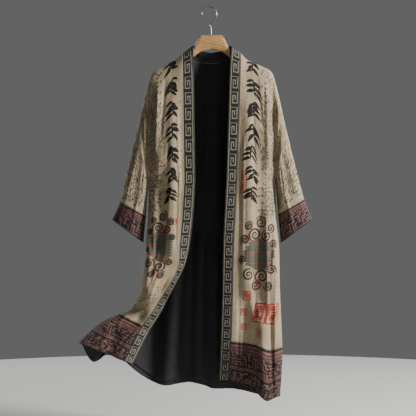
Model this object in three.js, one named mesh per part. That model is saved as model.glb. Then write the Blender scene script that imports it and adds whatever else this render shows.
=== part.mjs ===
// A long open-front robe, with a fretted neckband, banded cuffs and a banded hem, hung on a wooden hanger.
// Millimetres, +Z up, +Y away from the front. The origin is under the crown of the hook, where a rail carries it.
// Right and left are the wearer's, so the right half has negative X.
import * as THREE from 'three';

// Cloth walls, measured from the outside of the robe inwards
const SHELL_WALL = 2.2;
const LINING_WALL = 1.2;
const SEAM_GAP = 0.3;
const LAYER_GAP = 0.4;
const BAND_WALL = SHELL_WALL + LAYER_GAP + LINING_WALL;

// Lengths down the cloth below the underarm
const SKIRT_LENGTH = 705;
const HEM_BAND_DEPTH = 165;
const LINING_SHORT = 14;

// The rounding of the body at its side seams
const SIDE_TURN = 0.28; // share of a panel that turns round the side
const ARMHOLE_DEPTH = 42;
const SHOULDER_REST = 16; // half the cloth's depth where it lies on the hanger
const COLLAR_WIDTH = 36.5;

// Facets of each piece
const YOKE_FALLS = [0, 0.05, 0.125, 0.25, 0.375, 0.5, 0.625, 0.75, 0.875, 1];
const SKIRT_ROWS = 15;
const HEM_ROWS = 4; // down to the lining's end
const FRONT_COLUMNS = 14;
const BACK_COLUMNS = 13; // to the centre
const NECK_COLUMN = 8;
const NECK_START = NECK_COLUMN / BACK_COLUMNS; // share of half the back, from the side, where the neckline starts
const SLEEVE_ROWS = 6;
const CUFF_ROWS = 2;
const BAND_COLUMNS = 2;

// The robe hangs a little to the right of the hook's crown
const HANGER_OFFSET = 6.7;

const COLOURS = {
  linen: 0xb8a283,
  fret: 0x1b1d20,
  border: 0x5a403d,
  lining: 0x151517,
  wood: 0xb07c4a,
  steel: 0xb9bbb8,
};

// The folded top edge of each half, from the sleeve seam (at 0) over the hanger's end to the neckband (at 1)
const SHOULDERS = {
  right: [
    { at: 0, x: -250, z: -412 },
    { at: 0.303, x: -228, z: -316 },
    { at: 0.519, x: -211, z: -248 },
    { at: 0.615, x: -199, z: -219 },
    { at: 0.757, x: -159, z: -196 },
    { at: 0.894, x: -121, z: -174 },
    { at: 1, x: -95, z: -152 },
  ],
  left: [
    { at: 0, x: 247, z: -392 },
    { at: 0.24, x: 233, z: -326 },
    { at: 0.49, x: 213, z: -245 },
    { at: 0.6, x: 200, z: -214 },
    { at: 0.72, x: 168, z: -196 },
    { at: 0.89, x: 121, z: -175 },
    { at: 1, x: 98, z: -152 },
  ],
};

// The back neckline, from the shoulder (at 0) to the centre (at 1), as shares of the half neck width
const NECKLINE = [
  { at: 0, share: 1, y: 0, z: -152 },
  { at: 0.35, share: 0.72, y: 27, z: -163 },
  { at: 0.7, share: 0.36, y: 42, z: -178 },
  { at: 1, share: 0, y: 46, z: -184 },
];

// Sections of each half below the underarm: the width of the turn round the side, the side seam, the depth of
// the front and back faces beside it, the seam of the neckband, and the way from that seam to the neckband's free edge
const SECTIONS = {
  right: [
    { drop: 0, turn: 64, sideX: -209, sideY: 0, sideZ: -580, front: -54, back: 52, edgeX: -89, edgeY: -50, edgeZ: -580, bandX: 36.5, bandY: 0, bandZ: 0 },
    { drop: 110, turn: 44, sideX: -211, sideY: 0, sideZ: -691, front: -56, back: 54, edgeX: -95, edgeY: -52, edgeZ: -688, bandX: 36, bandY: 6, bandZ: 0 },
    { drop: 210, turn: 34, sideX: -219, sideY: -2, sideZ: -785, front: -60, back: 56, edgeX: -104, edgeY: -58, edgeZ: -793, bandX: 33, bandY: 15, bandZ: 0 },
    { drop: 290, turn: 32, sideX: -228, sideY: -5, sideZ: -850, front: -72, back: 58, edgeX: -109, edgeY: -68, edgeZ: -863, bandX: 20, bandY: 30, bandZ: -2 },
    { drop: 360, turn: 30, sideX: -234, sideY: -9, sideZ: -909, front: -90, back: 60, edgeX: -136, edgeY: -76, edgeZ: -919, bandX: 16, bandY: 31, bandZ: -9 },
    { drop: 415, turn: 34, sideX: -239, sideY: -14, sideZ: -953, front: -97, back: 60, edgeX: -161, edgeY: -70, edgeZ: -961, bandX: 18, bandY: 29, bandZ: -10 },
    { drop: 465, turn: 40, sideX: -257, sideY: -20, sideZ: -988, front: -74, back: 56, edgeX: -189, edgeY: -72, edgeZ: -1004, bandX: 23, bandY: 25, bandZ: -13 },
    { drop: 505, turn: 46, sideX: -278, sideY: -26, sideZ: -1013, front: -62, back: 52, edgeX: -210, edgeY: -82, edgeZ: -1034, bandX: 25, bandY: 22, bandZ: -14 },
    { drop: 540, turn: 52, sideX: -304, sideY: -32, sideZ: -1024, front: -70, back: 48, edgeX: -228, edgeY: -90, edgeZ: -1058, bandX: 27, bandY: 20, bandZ: -15 },
    { drop: 595, turn: 60, sideX: -352, sideY: -42, sideZ: -1043, front: -92, back: 40, edgeX: -247, edgeY: -116, edgeZ: -1093, bandX: 28, bandY: 18, bandZ: -15 },
    { drop: 640, turn: 66, sideX: -388, sideY: -54, sideZ: -1068, front: -110, back: 30, edgeX: -263, edgeY: -141, edgeZ: -1124, bandX: 28, bandY: 17, bandZ: -15 },
    { drop: 705, turn: 72, sideX: -434, sideY: -80, sideZ: -1111, front: -146, back: 8, edgeX: -280, edgeY: -185, edgeZ: -1160, bandX: 27, bandY: 18, bandZ: -12 },
  ],
  left: [
    { drop: 0, turn: 64, sideX: 214, sideY: 0, sideZ: -580, front: -54, back: 52, edgeX: 85, edgeY: -50, edgeZ: -580, bandX: -36.5, bandY: 0, bandZ: 0 },
    { drop: 110, turn: 44, sideX: 217, sideY: 0, sideZ: -691, front: -56, back: 54, edgeX: 79, edgeY: -52, edgeZ: -688, bandX: -36.5, bandY: 2, bandZ: 0 },
    { drop: 205, turn: 34, sideX: 226, sideY: -2, sideZ: -784, front: -58, back: 56, edgeX: 74, edgeY: -53, edgeZ: -784, bandX: -36, bandY: 4, bandZ: 0 },
    { drop: 380, turn: 28, sideX: 230, sideY: -5, sideZ: -955, front: -62, back: 58, edgeX: 70, edgeY: -55, edgeZ: -957, bandX: -35, bandY: 6, bandZ: 0 },
    { drop: 540, turn: 30, sideX: 237, sideY: -10, sideZ: -1135, front: -68, back: 60, edgeX: 65, edgeY: -50, edgeZ: -1114, bandX: -35, bandY: 7, bandZ: 0 },
    { drop: 630, turn: 34, sideX: 235, sideY: -13, sideZ: -1225, front: -76, back: 60, edgeX: 62, edgeY: -33, edgeZ: -1195, bandX: -34, bandY: 8, bandZ: 0 },
    { drop: 705, turn: 36, sideX: 229, sideY: -16, sideZ: -1296, front: -84, back: 58, edgeX: 59, edgeY: 0, edgeZ: -1250, bandX: -32, bandY: 9, bandZ: 0 },
  ],
};

// The centre of the back below the underarm
const CENTRE = [
  { drop: 0, y: 50, z: -580 },
  { drop: 300, y: 52, z: -879 },
  { drop: 540, y: 54, z: -1118 },
  { drop: 705, y: 55, z: -1281 },
];

// Folds, each along a straight line in the front view, from its top to its foot. width is half its width. depth is
// outwards, and a trough has a negative one. One that runs off the hem has its foot below it.
const FOLDS = {
  right: {
    front: [
      { topX: -194, topZ: -232, footX: -212, footZ: -590, width: 21, depth: -19 },
      { topX: -124, topZ: -250, footX: -132, footZ: -880, width: 32, depth: 8 },
      { topX: -158, topZ: -500, footX: -182, footZ: -900, width: 28, depth: -12 },
      { topX: -300, topZ: -1010, footX: -365, footZ: -1300, width: 30, depth: -12 },
    ],
    back: [
      { topX: -92, topZ: -640, footX: -157, footZ: -1300, width: 46, depth: -26 },
      { topX: -150, topZ: -420, footX: -230, footZ: -1400, width: 48, depth: 14 },
      { topX: -32, topZ: -700, footX: -44, footZ: -1400, width: 34, depth: -16 },
      { topX: -330, topZ: -1040, footX: -352, footZ: -1400, width: 46, depth: -12 },
    ],
  },
  left: {
    front: [
      { topX: 200, topZ: -228, footX: 217, footZ: -600, width: 21, depth: -19 },
      { topX: 124, topZ: -250, footX: 118, footZ: -1020, width: 32, depth: 8 },
      { topX: 164, topZ: -440, footX: 156, footZ: -1060, width: 30, depth: -10 },
      { topX: 112, topZ: -940, footX: 128, footZ: -1400, width: 28, depth: -17 },
      { topX: 168, topZ: -960, footX: 172, footZ: -1400, width: 34, depth: 17 },
    ],
    back: [
      { topX: 18, topZ: -760, footX: 14, footZ: -1400, width: 36, depth: -13 },
      { topX: 72, topZ: -360, footX: 66, footZ: -1400, width: 42, depth: 15 },
      { topX: 118, topZ: -560, footX: 128, footZ: -1400, width: 38, depth: -18 },
      { topX: 176, topZ: -330, footX: 178, footZ: -1400, width: 36, depth: 11 },
    ],
  },
};
const FOLD_FADE = 110; // length over which a fold deepens from nothing
const FOLD_CLEAR = 10; // a fold starts this deep round from a shoulder or a side seam, and is full this much deeper
const FOLD_RISE = 26;
const HEM_LOBES = {
  right: {
    front: [],
    back: [
      { across: 0.2, width: 0.17, sag: 60 },
      { across: 0.62, width: 0.32, sag: 54 },
    ],
  },
  left: {
    front: [{ across: 0.36, width: 0.24, sag: 20 }],
    back: [{ across: 0.35, width: 0.25, sag: 14 }],
  },
};
const LOBE_START = 1.5; // fall where a lobe of the hem begins

// Sleeves: the line of the top fold and of the underarm, and half the depth between its faces
const SLEEVES = {
  right: [
    { at: 0, topX: -250, topZ: -412, underX: -209, underZ: -580, y: 0, depth: ARMHOLE_DEPTH },
    { at: 0.45, topX: -279, topZ: -535, underX: -215, underZ: -645, y: 2, depth: 47 },
    { at: 0.8, topX: -306, topZ: -650, underX: -219, underZ: -698, y: 4, depth: 47 },
    { at: 1, topX: -332, topZ: -709, underX: -227, underZ: -785, y: 4, depth: 45 },
  ],
  left: [
    { at: 0, topX: 247, topZ: -392, underX: 214, underZ: -580, y: 0, depth: ARMHOLE_DEPTH },
    { at: 0.45, topX: 282, topZ: -535, underX: 220, underZ: -640, y: 2, depth: 47 },
    { at: 0.8, topX: 311, topZ: -641, underX: 224, underZ: -692, y: 4, depth: 47 },
    { at: 1, topX: 338, topZ: -707, underX: 233, underZ: -786, y: 4, depth: 45 },
  ],
};
const CUFF_START = 0.8;
const SLEEVE_FOLDS = [
  { turn: 0.24, width: 0.09, depth: -9 },
  { turn: 0.38, width: 0.08, depth: 5 },
  { turn: 0.7, width: 0.1, depth: -8 },
];

// Hanger, from its middle outwards: the top and bottom edges and half the thickness. Beyond the neck its top
// follows the shoulder, this far below the cloth's outside.
const HANGER = [
  { x: 0, top: -92, bottom: -139, half: 7 },
  { x: 34, top: -92, bottom: -147, half: 7 },
  { x: 40, top: -98, bottom: -150, half: 7 },
  { x: 57, top: -131, bottom: -163, half: 7.5 },
  { x: 76, top: -150, bottom: -176, half: 7.5 },
];
const HANGER_DROP = 5.4;
const SHOULDER_STATIONS = [
  { at: 0.88, height: 24, half: 9.5 },
  { at: 0.78, height: 24, half: 10 },
  { at: 0.7, height: 24, half: 10 },
  { at: 0.645, height: 22, half: 9 },
  { at: 0.63, height: 14, half: 6 },
];
const HANGER_AROUND = 12;
const HANGER_SQUARENESS = 0.8;
const HOOK_WIRE = 4;
const HOOK_RADIUS = 24.5;
const HOOK_TIP_TURN = THREE.MathUtils.degToRad(190);
const HOOK_END_TURN = THREE.MathUtils.degToRad(-38);
const HOOK_AROUND = 10;
const HOOK_STEPS = 26;
const HOOK_NECK = [
  [-1.5, -55],
  [-4.2, -61],
  [-1.4, -68],
  [0, -76],
  [0, -84],
];

const vec = (x, y, z) => new THREE.Vector3(x, y, z);
const mix = THREE.MathUtils.lerp;
const clamp01 = (value) => THREE.MathUtils.clamp(value, 0, 1);
const ease = (value) => THREE.MathUtils.smoothstep(value, 0, 1);

// A column of a table at a place between its rows, on a smooth curve through them.
function along(rows, key, column, place) {
  let i = 0;
  while (i < rows.length - 2 && place > rows[i + 1][key]) i += 1;
  const slope = (a, b) => (rows[b][column] - rows[a][column]) / (rows[b][key] - rows[a][key]);
  const tangent = (k) => slope(Math.max(k - 1, 0), Math.min(k + 1, rows.length - 1));
  const span = rows[i + 1][key] - rows[i][key];
  const t = clamp01((place - rows[i][key]) / span);
  const rise = t * t * (3 - 2 * t);
  return (
    mix(rows[i][column], rows[i + 1][column], rise) +
    span * t * (1 - t) * ((1 - t) * tangent(i) - t * tangent(i + 1))
  );
}

// A smooth hump of height 1 at 0 that ends at -1 and 1.
const hump = (place) => (Math.abs(place) < 1 ? Math.cos((place * Math.PI) / 2) ** 2 : 0);

// How far the folds push a panel outwards at a point that lies this deep round from its seam.
function foldDepth(folds, point, fromSeam) {
  const deep = ({ topX, topZ, footX, footZ, width, depth }) => {
    const down = clamp01((topZ - point.z) / (topZ - footZ));
    const fade = ease((topZ - point.z) / FOLD_FADE) * ease((point.z - footZ) / FOLD_FADE);
    return depth * fade * hump((point.x - mix(topX, footX, down)) / width);
  };
  return folds.reduce((sum, fold) => sum + deep(fold), 0) * ease((fromSeam - FOLD_CLEAR) / FOLD_RISE);
}

// A point of the body below the underarm: a quarter ellipse round the side seam, then across to the inner edge.
function skirtPoint(side, face, across, drop) {
  const at = (column) => along(SECTIONS[side], 'drop', column, drop);
  const inner =
    face === 'front'
      ? vec(at('edgeX'), at('edgeY'), at('edgeZ'))
      : vec(0, along(CENTRE, 'drop', 'y', drop), along(CENTRE, 'drop', 'z', drop));
  const seam = vec(at('sideX'), at('sideY'), at('sideZ'));
  const faceY = at(face);
  const turn = clamp01(across / SIDE_TURN) * (Math.PI / 2);
  const level = clamp01((across - SIDE_TURN) / (1 - SIDE_TURN));
  const cornerShare = at('turn') / Math.hypot(inner.x - seam.x, inner.z - seam.z);
  const share = mix(cornerShare * (1 - Math.cos(turn)), 1, level);
  const y = mix(mix(seam.y, faceY, Math.sin(turn)), inner.y, ease(level));
  return vec(mix(seam.x, inner.x, share), y, mix(seam.z, inner.z, share));
}

// The top edge of a panel: the shoulder fold, and on the back the neckline too.
function topPoint(side, face, across) {
  const rows = SHOULDERS[side];
  const shoulderEnd = face === 'front' ? 1 : NECK_START;
  if (across <= shoulderEnd) {
    const place = across / shoulderEnd;
    return vec(along(rows, 'at', 'x', place), 0, along(rows, 'at', 'z', place));
  }
  const place = (across - shoulderEnd) / (1 - shoulderEnd);
  const neckX = rows[rows.length - 1].x;
  return vec(neckX * along(NECKLINE, 'at', 'share', place), along(NECKLINE, 'at', 'y', place), along(NECKLINE, 'at', 'z', place));
}

// A point of the robe's outside. A fall of 0 is the top edge, 1 the underarm and 2 the hem.
// Above the underarm the side of the panel is its armhole, half an ellipse from the top fold to the underarm.
// Under the neckline the back starts straight down, and elsewhere it starts level, on the fold of the shoulder.
function bodyPoint(side, face, across, fall) {
  const out = face === 'front' ? -1 : 1;
  let point;
  if (fall >= 1) {
    point = skirtPoint(side, face, across, (fall - 1) * SKIRT_LENGTH);
  } else {
    const turn = Math.PI * fall;
    const underNeck = face === 'back' ? ease((across - NECK_START) / 0.15) : 0;
    const share = mix((1 - Math.cos(turn)) / 2, fall, underNeck);
    const top = topPoint(side, face, across);
    const bottom = skirtPoint(side, face, across, 0);
    const onShoulder = ease(across / 0.3);
    const rest = SHOULDER_REST * onShoulder * (1 - underNeck);
    const full = Math.sin(Math.min(turn, Math.PI / 2));
    const start = Math.sin(Math.min(2.2 * turn, Math.PI / 2));
    const armhole = ARMHOLE_DEPTH * Math.sin(turn) * (1 - onShoulder);
    const fallen = mix(top.y, bottom.y - out * rest, full ** mix(1, 1.5, onShoulder)) + out * rest * start;
    point = vec(mix(top.x, bottom.x, share), out * Math.hypot(fallen, armhole), mix(top.z, bottom.z, share));
  }
  const seamY = fall >= 1 ? along(SECTIONS[side], 'drop', 'sideY', (fall - 1) * SKIRT_LENGTH) : 0;
  point.y += out * foldDepth(FOLDS[side][face], point, Math.abs(point.y - seamY));
  const low = ease((fall - LOBE_START) / (2 - LOBE_START));
  const sag = (lobe) => lobe.sag * hump((across - lobe.across) / lobe.width);
  point.z -= low * HEM_LOBES[side][face].reduce((sum, lobe) => sum + sag(lobe), 0);
  return point;
}

// A point of a sleeve's outside. run goes from the armhole to the cuff's edge, turn once round from the top fold.
function sleevePoint(side, turn, run) {
  const at = (column) => along(SLEEVES[side], 'at', column, run);
  const angle = turn * 2 * Math.PI;
  const middle = (1 + Math.cos(angle)) / 2;
  const folds = SLEEVE_FOLDS.reduce((sum, fold) => sum + fold.depth * hump((turn - fold.turn) / fold.width), 0);
  const depth = at('depth') * Math.sin(angle);
  return vec(
    mix(at('underX'), at('topX'), middle),
    at('y') - depth - Math.sign(Math.sin(angle)) * folds * Math.sin(Math.PI * Math.min(run * 1.1, 0.92)),
    mix(at('underZ'), at('topZ'), middle),
  );
}

// The way across the neckband, from its seam to its free edge. At the shoulder it rises into the collar.
function bandWay(side, fall) {
  const inward = side === 'right' ? 1 : -1;
  if (fall >= 1) {
    const at = (column) => along(SECTIONS[side], 'drop', column, (fall - 1) * SKIRT_LENGTH);
    return vec(at('bandX'), at('bandY'), at('bandZ'));
  }
  const rise = 1 - ease(fall / 0.42);
  return vec(inward * mix(COLLAR_WIDTH, 33, rise), 0, 25 * rise);
}

// The way across the collar behind the neck, from a shoulder (0) to the centre (1).
function collarWay(side, place) {
  const inward = side === 'right' ? 1 : -1;
  return vec(inward * 33 * (1 - ease(place / 0.7)), 4 * Math.sin(Math.PI * place), mix(25, 38, ease(place / 0.3)));
}

const spread = (count, from, to) => Array.from({ length: count + 1 }, (_, i) => mix(from, to, i / count));

const gridOf = (surface, rows, columns) => rows.map((v) => columns.map((u) => surface(u, v)));

// Unit normals at a grid's points, each the mean of the facets round it, on the side where the inside is.
function normalsOf(points, inside, isTube = false) {
  const columns = points[0].length;
  const sums = points.map((row) => row.map(() => vec(0, 0, 0)));
  for (let r = 0; r < points.length - 1; r += 1)
    for (let c = 0; c < (isTube ? columns : columns - 1); c += 1) {
      const next = (c + 1) % columns;
      const diagonal = points[r + 1][next].clone().sub(points[r][c]);
      const facet = points[r + 1][c].clone().sub(points[r][next]).cross(diagonal);
      [sums[r][c], sums[r + 1][c], sums[r][next], sums[r + 1][next]].forEach((sum) => sum.add(facet));
    }
  const facing = points.flat().reduce((sum, p, i) => sum + inside.clone().sub(p).dot(sums.flat()[i]), 0);
  return sums.map((row) => row.map((sum) => sum.multiplyScalar(Math.sign(facing)).normalize()));
}

const levelled = (normal) => vec(normal.x, 0, normal.z).normalize();
const rowsOf = (grid, from, to) => grid.slice(from, to);
const columnsOf = (grid, from, to) => grid.map((row) => row.slice(from, to));

// A closed solid between two depths below a grid of points. A tube's columns close on themselves.
function wall(points, normals, [near, far], isTube = false) {
  const rows = points.length;
  const columns = points[0].length;
  const layer = (depth) => points.flatMap((row, r) => row.map((p, c) => p.clone().addScaledVector(normals[r][c], depth)));
  const positions = [...layer(near), ...layer(far)].flatMap((p) => [p.x, p.y, p.z]);
  const index = [];
  const id = (side, r, c) => side * rows * columns + r * columns + (c % columns);
  const quad = (a, b, c, d) => index.push(a, b, c, a, c, d);
  const lastColumn = isTube ? columns : columns - 1;
  for (let r = 0; r < rows - 1; r += 1)
    for (let c = 0; c < lastColumn; c += 1) {
      quad(id(0, r, c), id(0, r + 1, c), id(0, r + 1, c + 1), id(0, r, c + 1));
      index.push(id(1, r, c), id(1, r + 1, c + 1), id(1, r + 1, c), id(1, r, c), id(1, r, c + 1), id(1, r + 1, c + 1));
    }
  for (let c = 0; c < lastColumn; c += 1) {
    quad(id(0, 0, c), id(0, 0, c + 1), id(1, 0, c + 1), id(1, 0, c));
    quad(id(0, rows - 1, c), id(1, rows - 1, c), id(1, rows - 1, c + 1), id(0, rows - 1, c + 1));
  }
  if (!isTube)
    for (let r = 0; r < rows - 1; r += 1) {
      quad(id(0, r, 0), id(1, r, 0), id(1, r + 1, 0), id(0, r + 1, 0));
      quad(id(0, r, columns - 1), id(0, r + 1, columns - 1), id(1, r + 1, columns - 1), id(1, r, columns - 1));
    }
  return closedGeometry(positions, index);
}

// Six times the volume inside a mesh, negative if its faces point inwards.
function signedVolume(positions, index) {
  const corner = (k) => vec(positions[3 * k], positions[3 * k + 1], positions[3 * k + 2]);
  let sum = 0;
  for (let i = 0; i < index.length; i += 3)
    sum += corner(index[i]).dot(corner(index[i + 1]).cross(corner(index[i + 2])));
  return sum;
}

function closedGeometry(positions, index) {
  if (signedVolume(positions, index) < 0)
    for (let i = 0; i < index.length; i += 3) [index[i + 1], index[i + 2]] = [index[i + 2], index[i + 1]];
  const geometry = new THREE.BufferGeometry();
  geometry.setAttribute('position', new THREE.Float32BufferAttribute(positions, 3));
  geometry.setIndex(index);
  geometry.computeVertexNormals();
  return geometry;
}

// The inward direction at a point of an armhole, in the plane of its ellipse. Body and sleeve share it there.
function armholeNormal(side, face, fall) {
  const [start] = SLEEVES[side];
  const long = vec(start.topX - start.underX, 0, start.topZ - start.underZ);
  const angle = Math.PI * fall;
  const out = face === 'front' ? -1 : 1;
  const up = long.clone().normalize().multiplyScalar(Math.cos(angle) / (long.length() / 2));
  return up.add(vec(0, (out * Math.sin(angle)) / ARMHOLE_DEPTH, 0)).negate().normalize();
}

const fallOf = (drop) => 1 + drop / SKIRT_LENGTH;
const bandLine = fallOf(SKIRT_LENGTH - HEM_BAND_DEPTH);
const panelRows = [...YOKE_FALLS, ...spread(SKIRT_ROWS, 1, bandLine).slice(1)];
const liningEnd = fallOf(SKIRT_LENGTH - LINING_SHORT);
const allRows = [...panelRows, ...spread(HEM_ROWS, bandLine, liningEnd).slice(1), 2];
const frontColumns = spread(FRONT_COLUMNS, 0, 1);
const backColumns = spread(2 * BACK_COLUMNS, -1, 1);
const LAST_PANEL_ROW = panelRows.length - 1;

const materials = Object.fromEntries(
  Object.entries(COLOURS).map(([name, color]) => [
    name,
    new THREE.MeshStandardMaterial({ color, roughness: name === 'steel' ? 0.3 : 0.85, metalness: name === 'steel' ? 1 : 0 }),
  ]),
);

const robe = new THREE.Group();
robe.position.x = HANGER_OFFSET;

function add(name, geometry, material) {
  const mesh = new THREE.Mesh(geometry, materials[material]);
  mesh.name = name;
  robe.add(mesh);
}

// A panel and its hem band are cut from one grid, with a seam's gap between them.
function addPanel(name, points, normals, last) {
  const gap = (p, c) => p.clone().add(points[LAST_PANEL_ROW + 1][c].clone().sub(p).setLength(1.6 * SEAM_GAP));
  const hem = [points[LAST_PANEL_ROW].map(gap), ...rowsOf(points, LAST_PANEL_ROW + 1)];
  const cut = (grid, from, to) => columnsOf(rowsOf(grid, from, to), 0, last);
  add(name, wall(cut(points, 0, LAST_PANEL_ROW + 1), cut(normals, 0, LAST_PANEL_ROW + 1), [0, SHELL_WALL]), 'linen');
  add(`hem_band_${name}`, wall(columnsOf(hem, 0, last), cut(normals, LAST_PANEL_ROW), [0, SHELL_WALL]), 'border');
}

// Half the front with its neckband, as one surface: the band leaves the panel's edge a seam's gap away.
function addFront(side) {
  const outside = (across, fall) => bodyPoint(side, 'front', across, fall).add(vec(0, -SEAM_GAP / 2, 0));
  const band = (width, fall) => outside(1, fall).addScaledVector(bandWay(side, fall), width);
  const widths = spread(BAND_COLUMNS, 0, 1);
  const points = allRows.map((fall) => [
    ...frontColumns.map((across) => outside(across, fall)),
    ...widths.slice(1).map((width) => band(width, fall)),
  ]);
  const normals = normalsOf(points, vec(points[0][0].x, 400, -700));
  normals.forEach((row, r) => {
    row[0] = allRows[r] <= 1 ? armholeNormal(side, 'front', allRows[r]) : levelled(row[0]);
  });
  normals[0] = normals[0].map((normal, c) => (c === 0 ? normal : levelled(normal)));
  addPanel(`front_${side}`, points, normals, FRONT_COLUMNS + 1);
  const strip = columnsOf(points, FRONT_COLUMNS).map((row, r) => {
    const gap = row[0].clone().sub(points[r][FRONT_COLUMNS - 1]).setLength(SEAM_GAP);
    return row.map((p) => p.clone().add(gap));
  });
  add(`neckband_${side}`, wall(strip, columnsOf(normals, FRONT_COLUMNS), [0, BAND_WALL]), 'fret');
}

// The whole back, across from the right side seam (-1) through the centre (0) to the left one (1), its lining
// and the collar on its neckline.
function addBack() {
  const sideOf = (across) => (across < 0 ? 'right' : 'left');
  const outside = (across, fall) =>
    bodyPoint(sideOf(across), 'back', 1 - Math.abs(across), fall).add(vec(0, SEAM_GAP / 2, 0));
  const shoulders = [NECK_COLUMN, 2 * BACK_COLUMNS - NECK_COLUMN];
  const points = gridOf(outside, allRows, backColumns);
  const normals = normalsOf(points, vec(0, -400, -700));
  normals.forEach((row, r) => {
    [0, 2 * BACK_COLUMNS].forEach((c) => {
      row[c] = allRows[r] <= 1 ? armholeNormal(sideOf(backColumns[c]), 'back', allRows[r]) : levelled(row[c]);
    });
  });
  normals[0] = normals[0].map((normal, c) =>
    (c > 0 && c <= shoulders[0]) || (c >= shoulders[1] && c < 2 * BACK_COLUMNS) ? levelled(normal) : normal,
  );
  addPanel('back', points, normals, 2 * BACK_COLUMNS + 1);

  const short = (grid) => rowsOf(grid, 0, grid.length - 1);
  add('lining_back', wall(short(points), short(normals), [SHELL_WALL + LAYER_GAP, BAND_WALL]), 'lining');

  const neck = backColumns.slice(shoulders[0], shoulders[1] + 1);
  const collar = spread(BAND_COLUMNS, 0, 1).map((width) =>
    neck.map((across) => {
      const way = collarWay(sideOf(across), 1 - Math.abs(across) / (1 - NECK_START));
      return outside(across, 0).addScaledVector(way, mix((2.6 * SEAM_GAP) / COLLAR_WIDTH, 1, width));
    }),
  );
  const collarNormals = normalsOf(collar, vec(0, -400, -150));
  collarNormals[0] = normals[0].slice(shoulders[0], shoulders[1] + 1);
  collarNormals.forEach((row) => {
    row[0] = levelled(row[0]);
    row[row.length - 1] = levelled(row[row.length - 1]);
  });
  add('neckband_back', wall(collar, collarNormals, [0, BAND_WALL]), 'fret');
}

function addSleeve(side) {
  const [start] = SLEEVES[side];
  const long = vec(start.topX - start.underX, 0, start.topZ - start.underZ).normalize();
  const away = vec(-Math.abs(long.z), 0, 0).setX(side === 'right' ? long.z : -long.z).setZ(-Math.abs(long.x));
  away.setX(side === 'right' ? -Math.abs(long.z) : Math.abs(long.z)).multiplyScalar(1.6 * SEAM_GAP);
  const turns = [...YOKE_FALLS.map((fall) => fall / 2), ...YOKE_FALLS.slice(1, -1).map((fall) => 1 - fall / 2).reverse()];
  const runs = [...spread(SLEEVE_ROWS, 0, CUFF_START), ...spread(CUFF_ROWS, CUFF_START, 1).slice(1)];
  const points = gridOf((turn, run) => sleevePoint(side, turn, run).add(away), runs, turns);
  const middle = points.flat().reduce((sum, p) => sum.add(p), vec(0, 0, 0)).divideScalar(points.flat().length);
  const normals = normalsOf(points, middle, true);
  normals[0] = turns.map((turn) =>
    turn <= 0.5 ? armholeNormal(side, 'front', 2 * turn) : armholeNormal(side, 'back', 2 - 2 * turn),
  );
  const below = points[SLEEVE_ROWS + 1];
  const gapped = points[SLEEVE_ROWS].map((p, c) => p.clone().add(below[c].clone().sub(p).setLength(SEAM_GAP)));
  add(`sleeve_${side}`, wall(rowsOf(points, 0, SLEEVE_ROWS + 1), rowsOf(normals, 0, SLEEVE_ROWS + 1), [0, SHELL_WALL], true), 'linen');
  const cuff = [gapped, ...rowsOf(points, SLEEVE_ROWS + 1)];
  add(`cuff_${side}`, wall(cuff, rowsOf(normals, SLEEVE_ROWS), [0, SHELL_WALL], true), 'border');
}

// A closed solid through rings of points, with a fan across each end.
function loft(rings) {
  const around = rings[0].length;
  const ends = [rings[0], rings[rings.length - 1]].map((ring) =>
    ring.reduce((sum, p) => sum.add(p), vec(0, 0, 0)).divideScalar(around),
  );
  const positions = [...rings.flat(), ...ends].flatMap((p) => [p.x, p.y, p.z]);
  const first = rings.length * around;
  const index = [];
  for (let c = 0; c < around; c += 1) {
    const next = (c + 1) % around;
    for (let r = 0; r < rings.length - 1; r += 1) {
      const [a, b] = [r * around, (r + 1) * around];
      index.push(a + c, b + c, b + next, a + c, b + next, a + next);
    }
    index.push(first, c, next);
    const last = (rings.length - 1) * around;
    index.push(first + 1, last + next, last + c);
  }
  return closedGeometry(positions, index);
}

// The sections of the hanger on one side: its middle part from the table, then its arm under the shoulder.
function hangerRows(side) {
  const outward = side === 'right' ? -1 : 1;
  const arm = SHOULDER_STATIONS.map(({ at, height, half }) => {
    const place = (delta) => vec(along(SHOULDERS[side], 'at', 'x', at + delta), 0, along(SHOULDERS[side], 'at', 'z', at + delta));
    const slope = place(0.01).sub(place(-0.01)).normalize();
    const below = vec(-outward * Math.abs(slope.z), 0, -Math.abs(slope.x));
    const top = place(0).addScaledVector(below, HANGER_DROP);
    return { top, bottom: top.clone().add(vec(0, 0, -height)), half };
  });
  const middle = HANGER.map(({ x, top, bottom, half }) => ({ top: vec(outward * x, 0, top), bottom: vec(outward * x, 0, bottom), half }));
  return [...middle, ...arm];
}

// The wooden hanger: rounded oblong sections from one end to the other.
function addHanger() {
  const rows = [...hangerRows('right').slice(1).reverse(), ...hangerRows('left')];
  const rounded = (value) => Math.sign(value) * Math.abs(value) ** HANGER_SQUARENESS;
  const rings = rows.map(({ top, bottom, half }) =>
    spread(HANGER_AROUND, 0, 2 * Math.PI).slice(0, -1).map((angle) =>
      bottom.clone().lerp(top, (1 + rounded(Math.sin(angle))) / 2).add(vec(0, half * rounded(Math.cos(angle)), 0)),
    ),
  );
  add('hanger_wood', loft(rings), 'wood');
}

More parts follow.
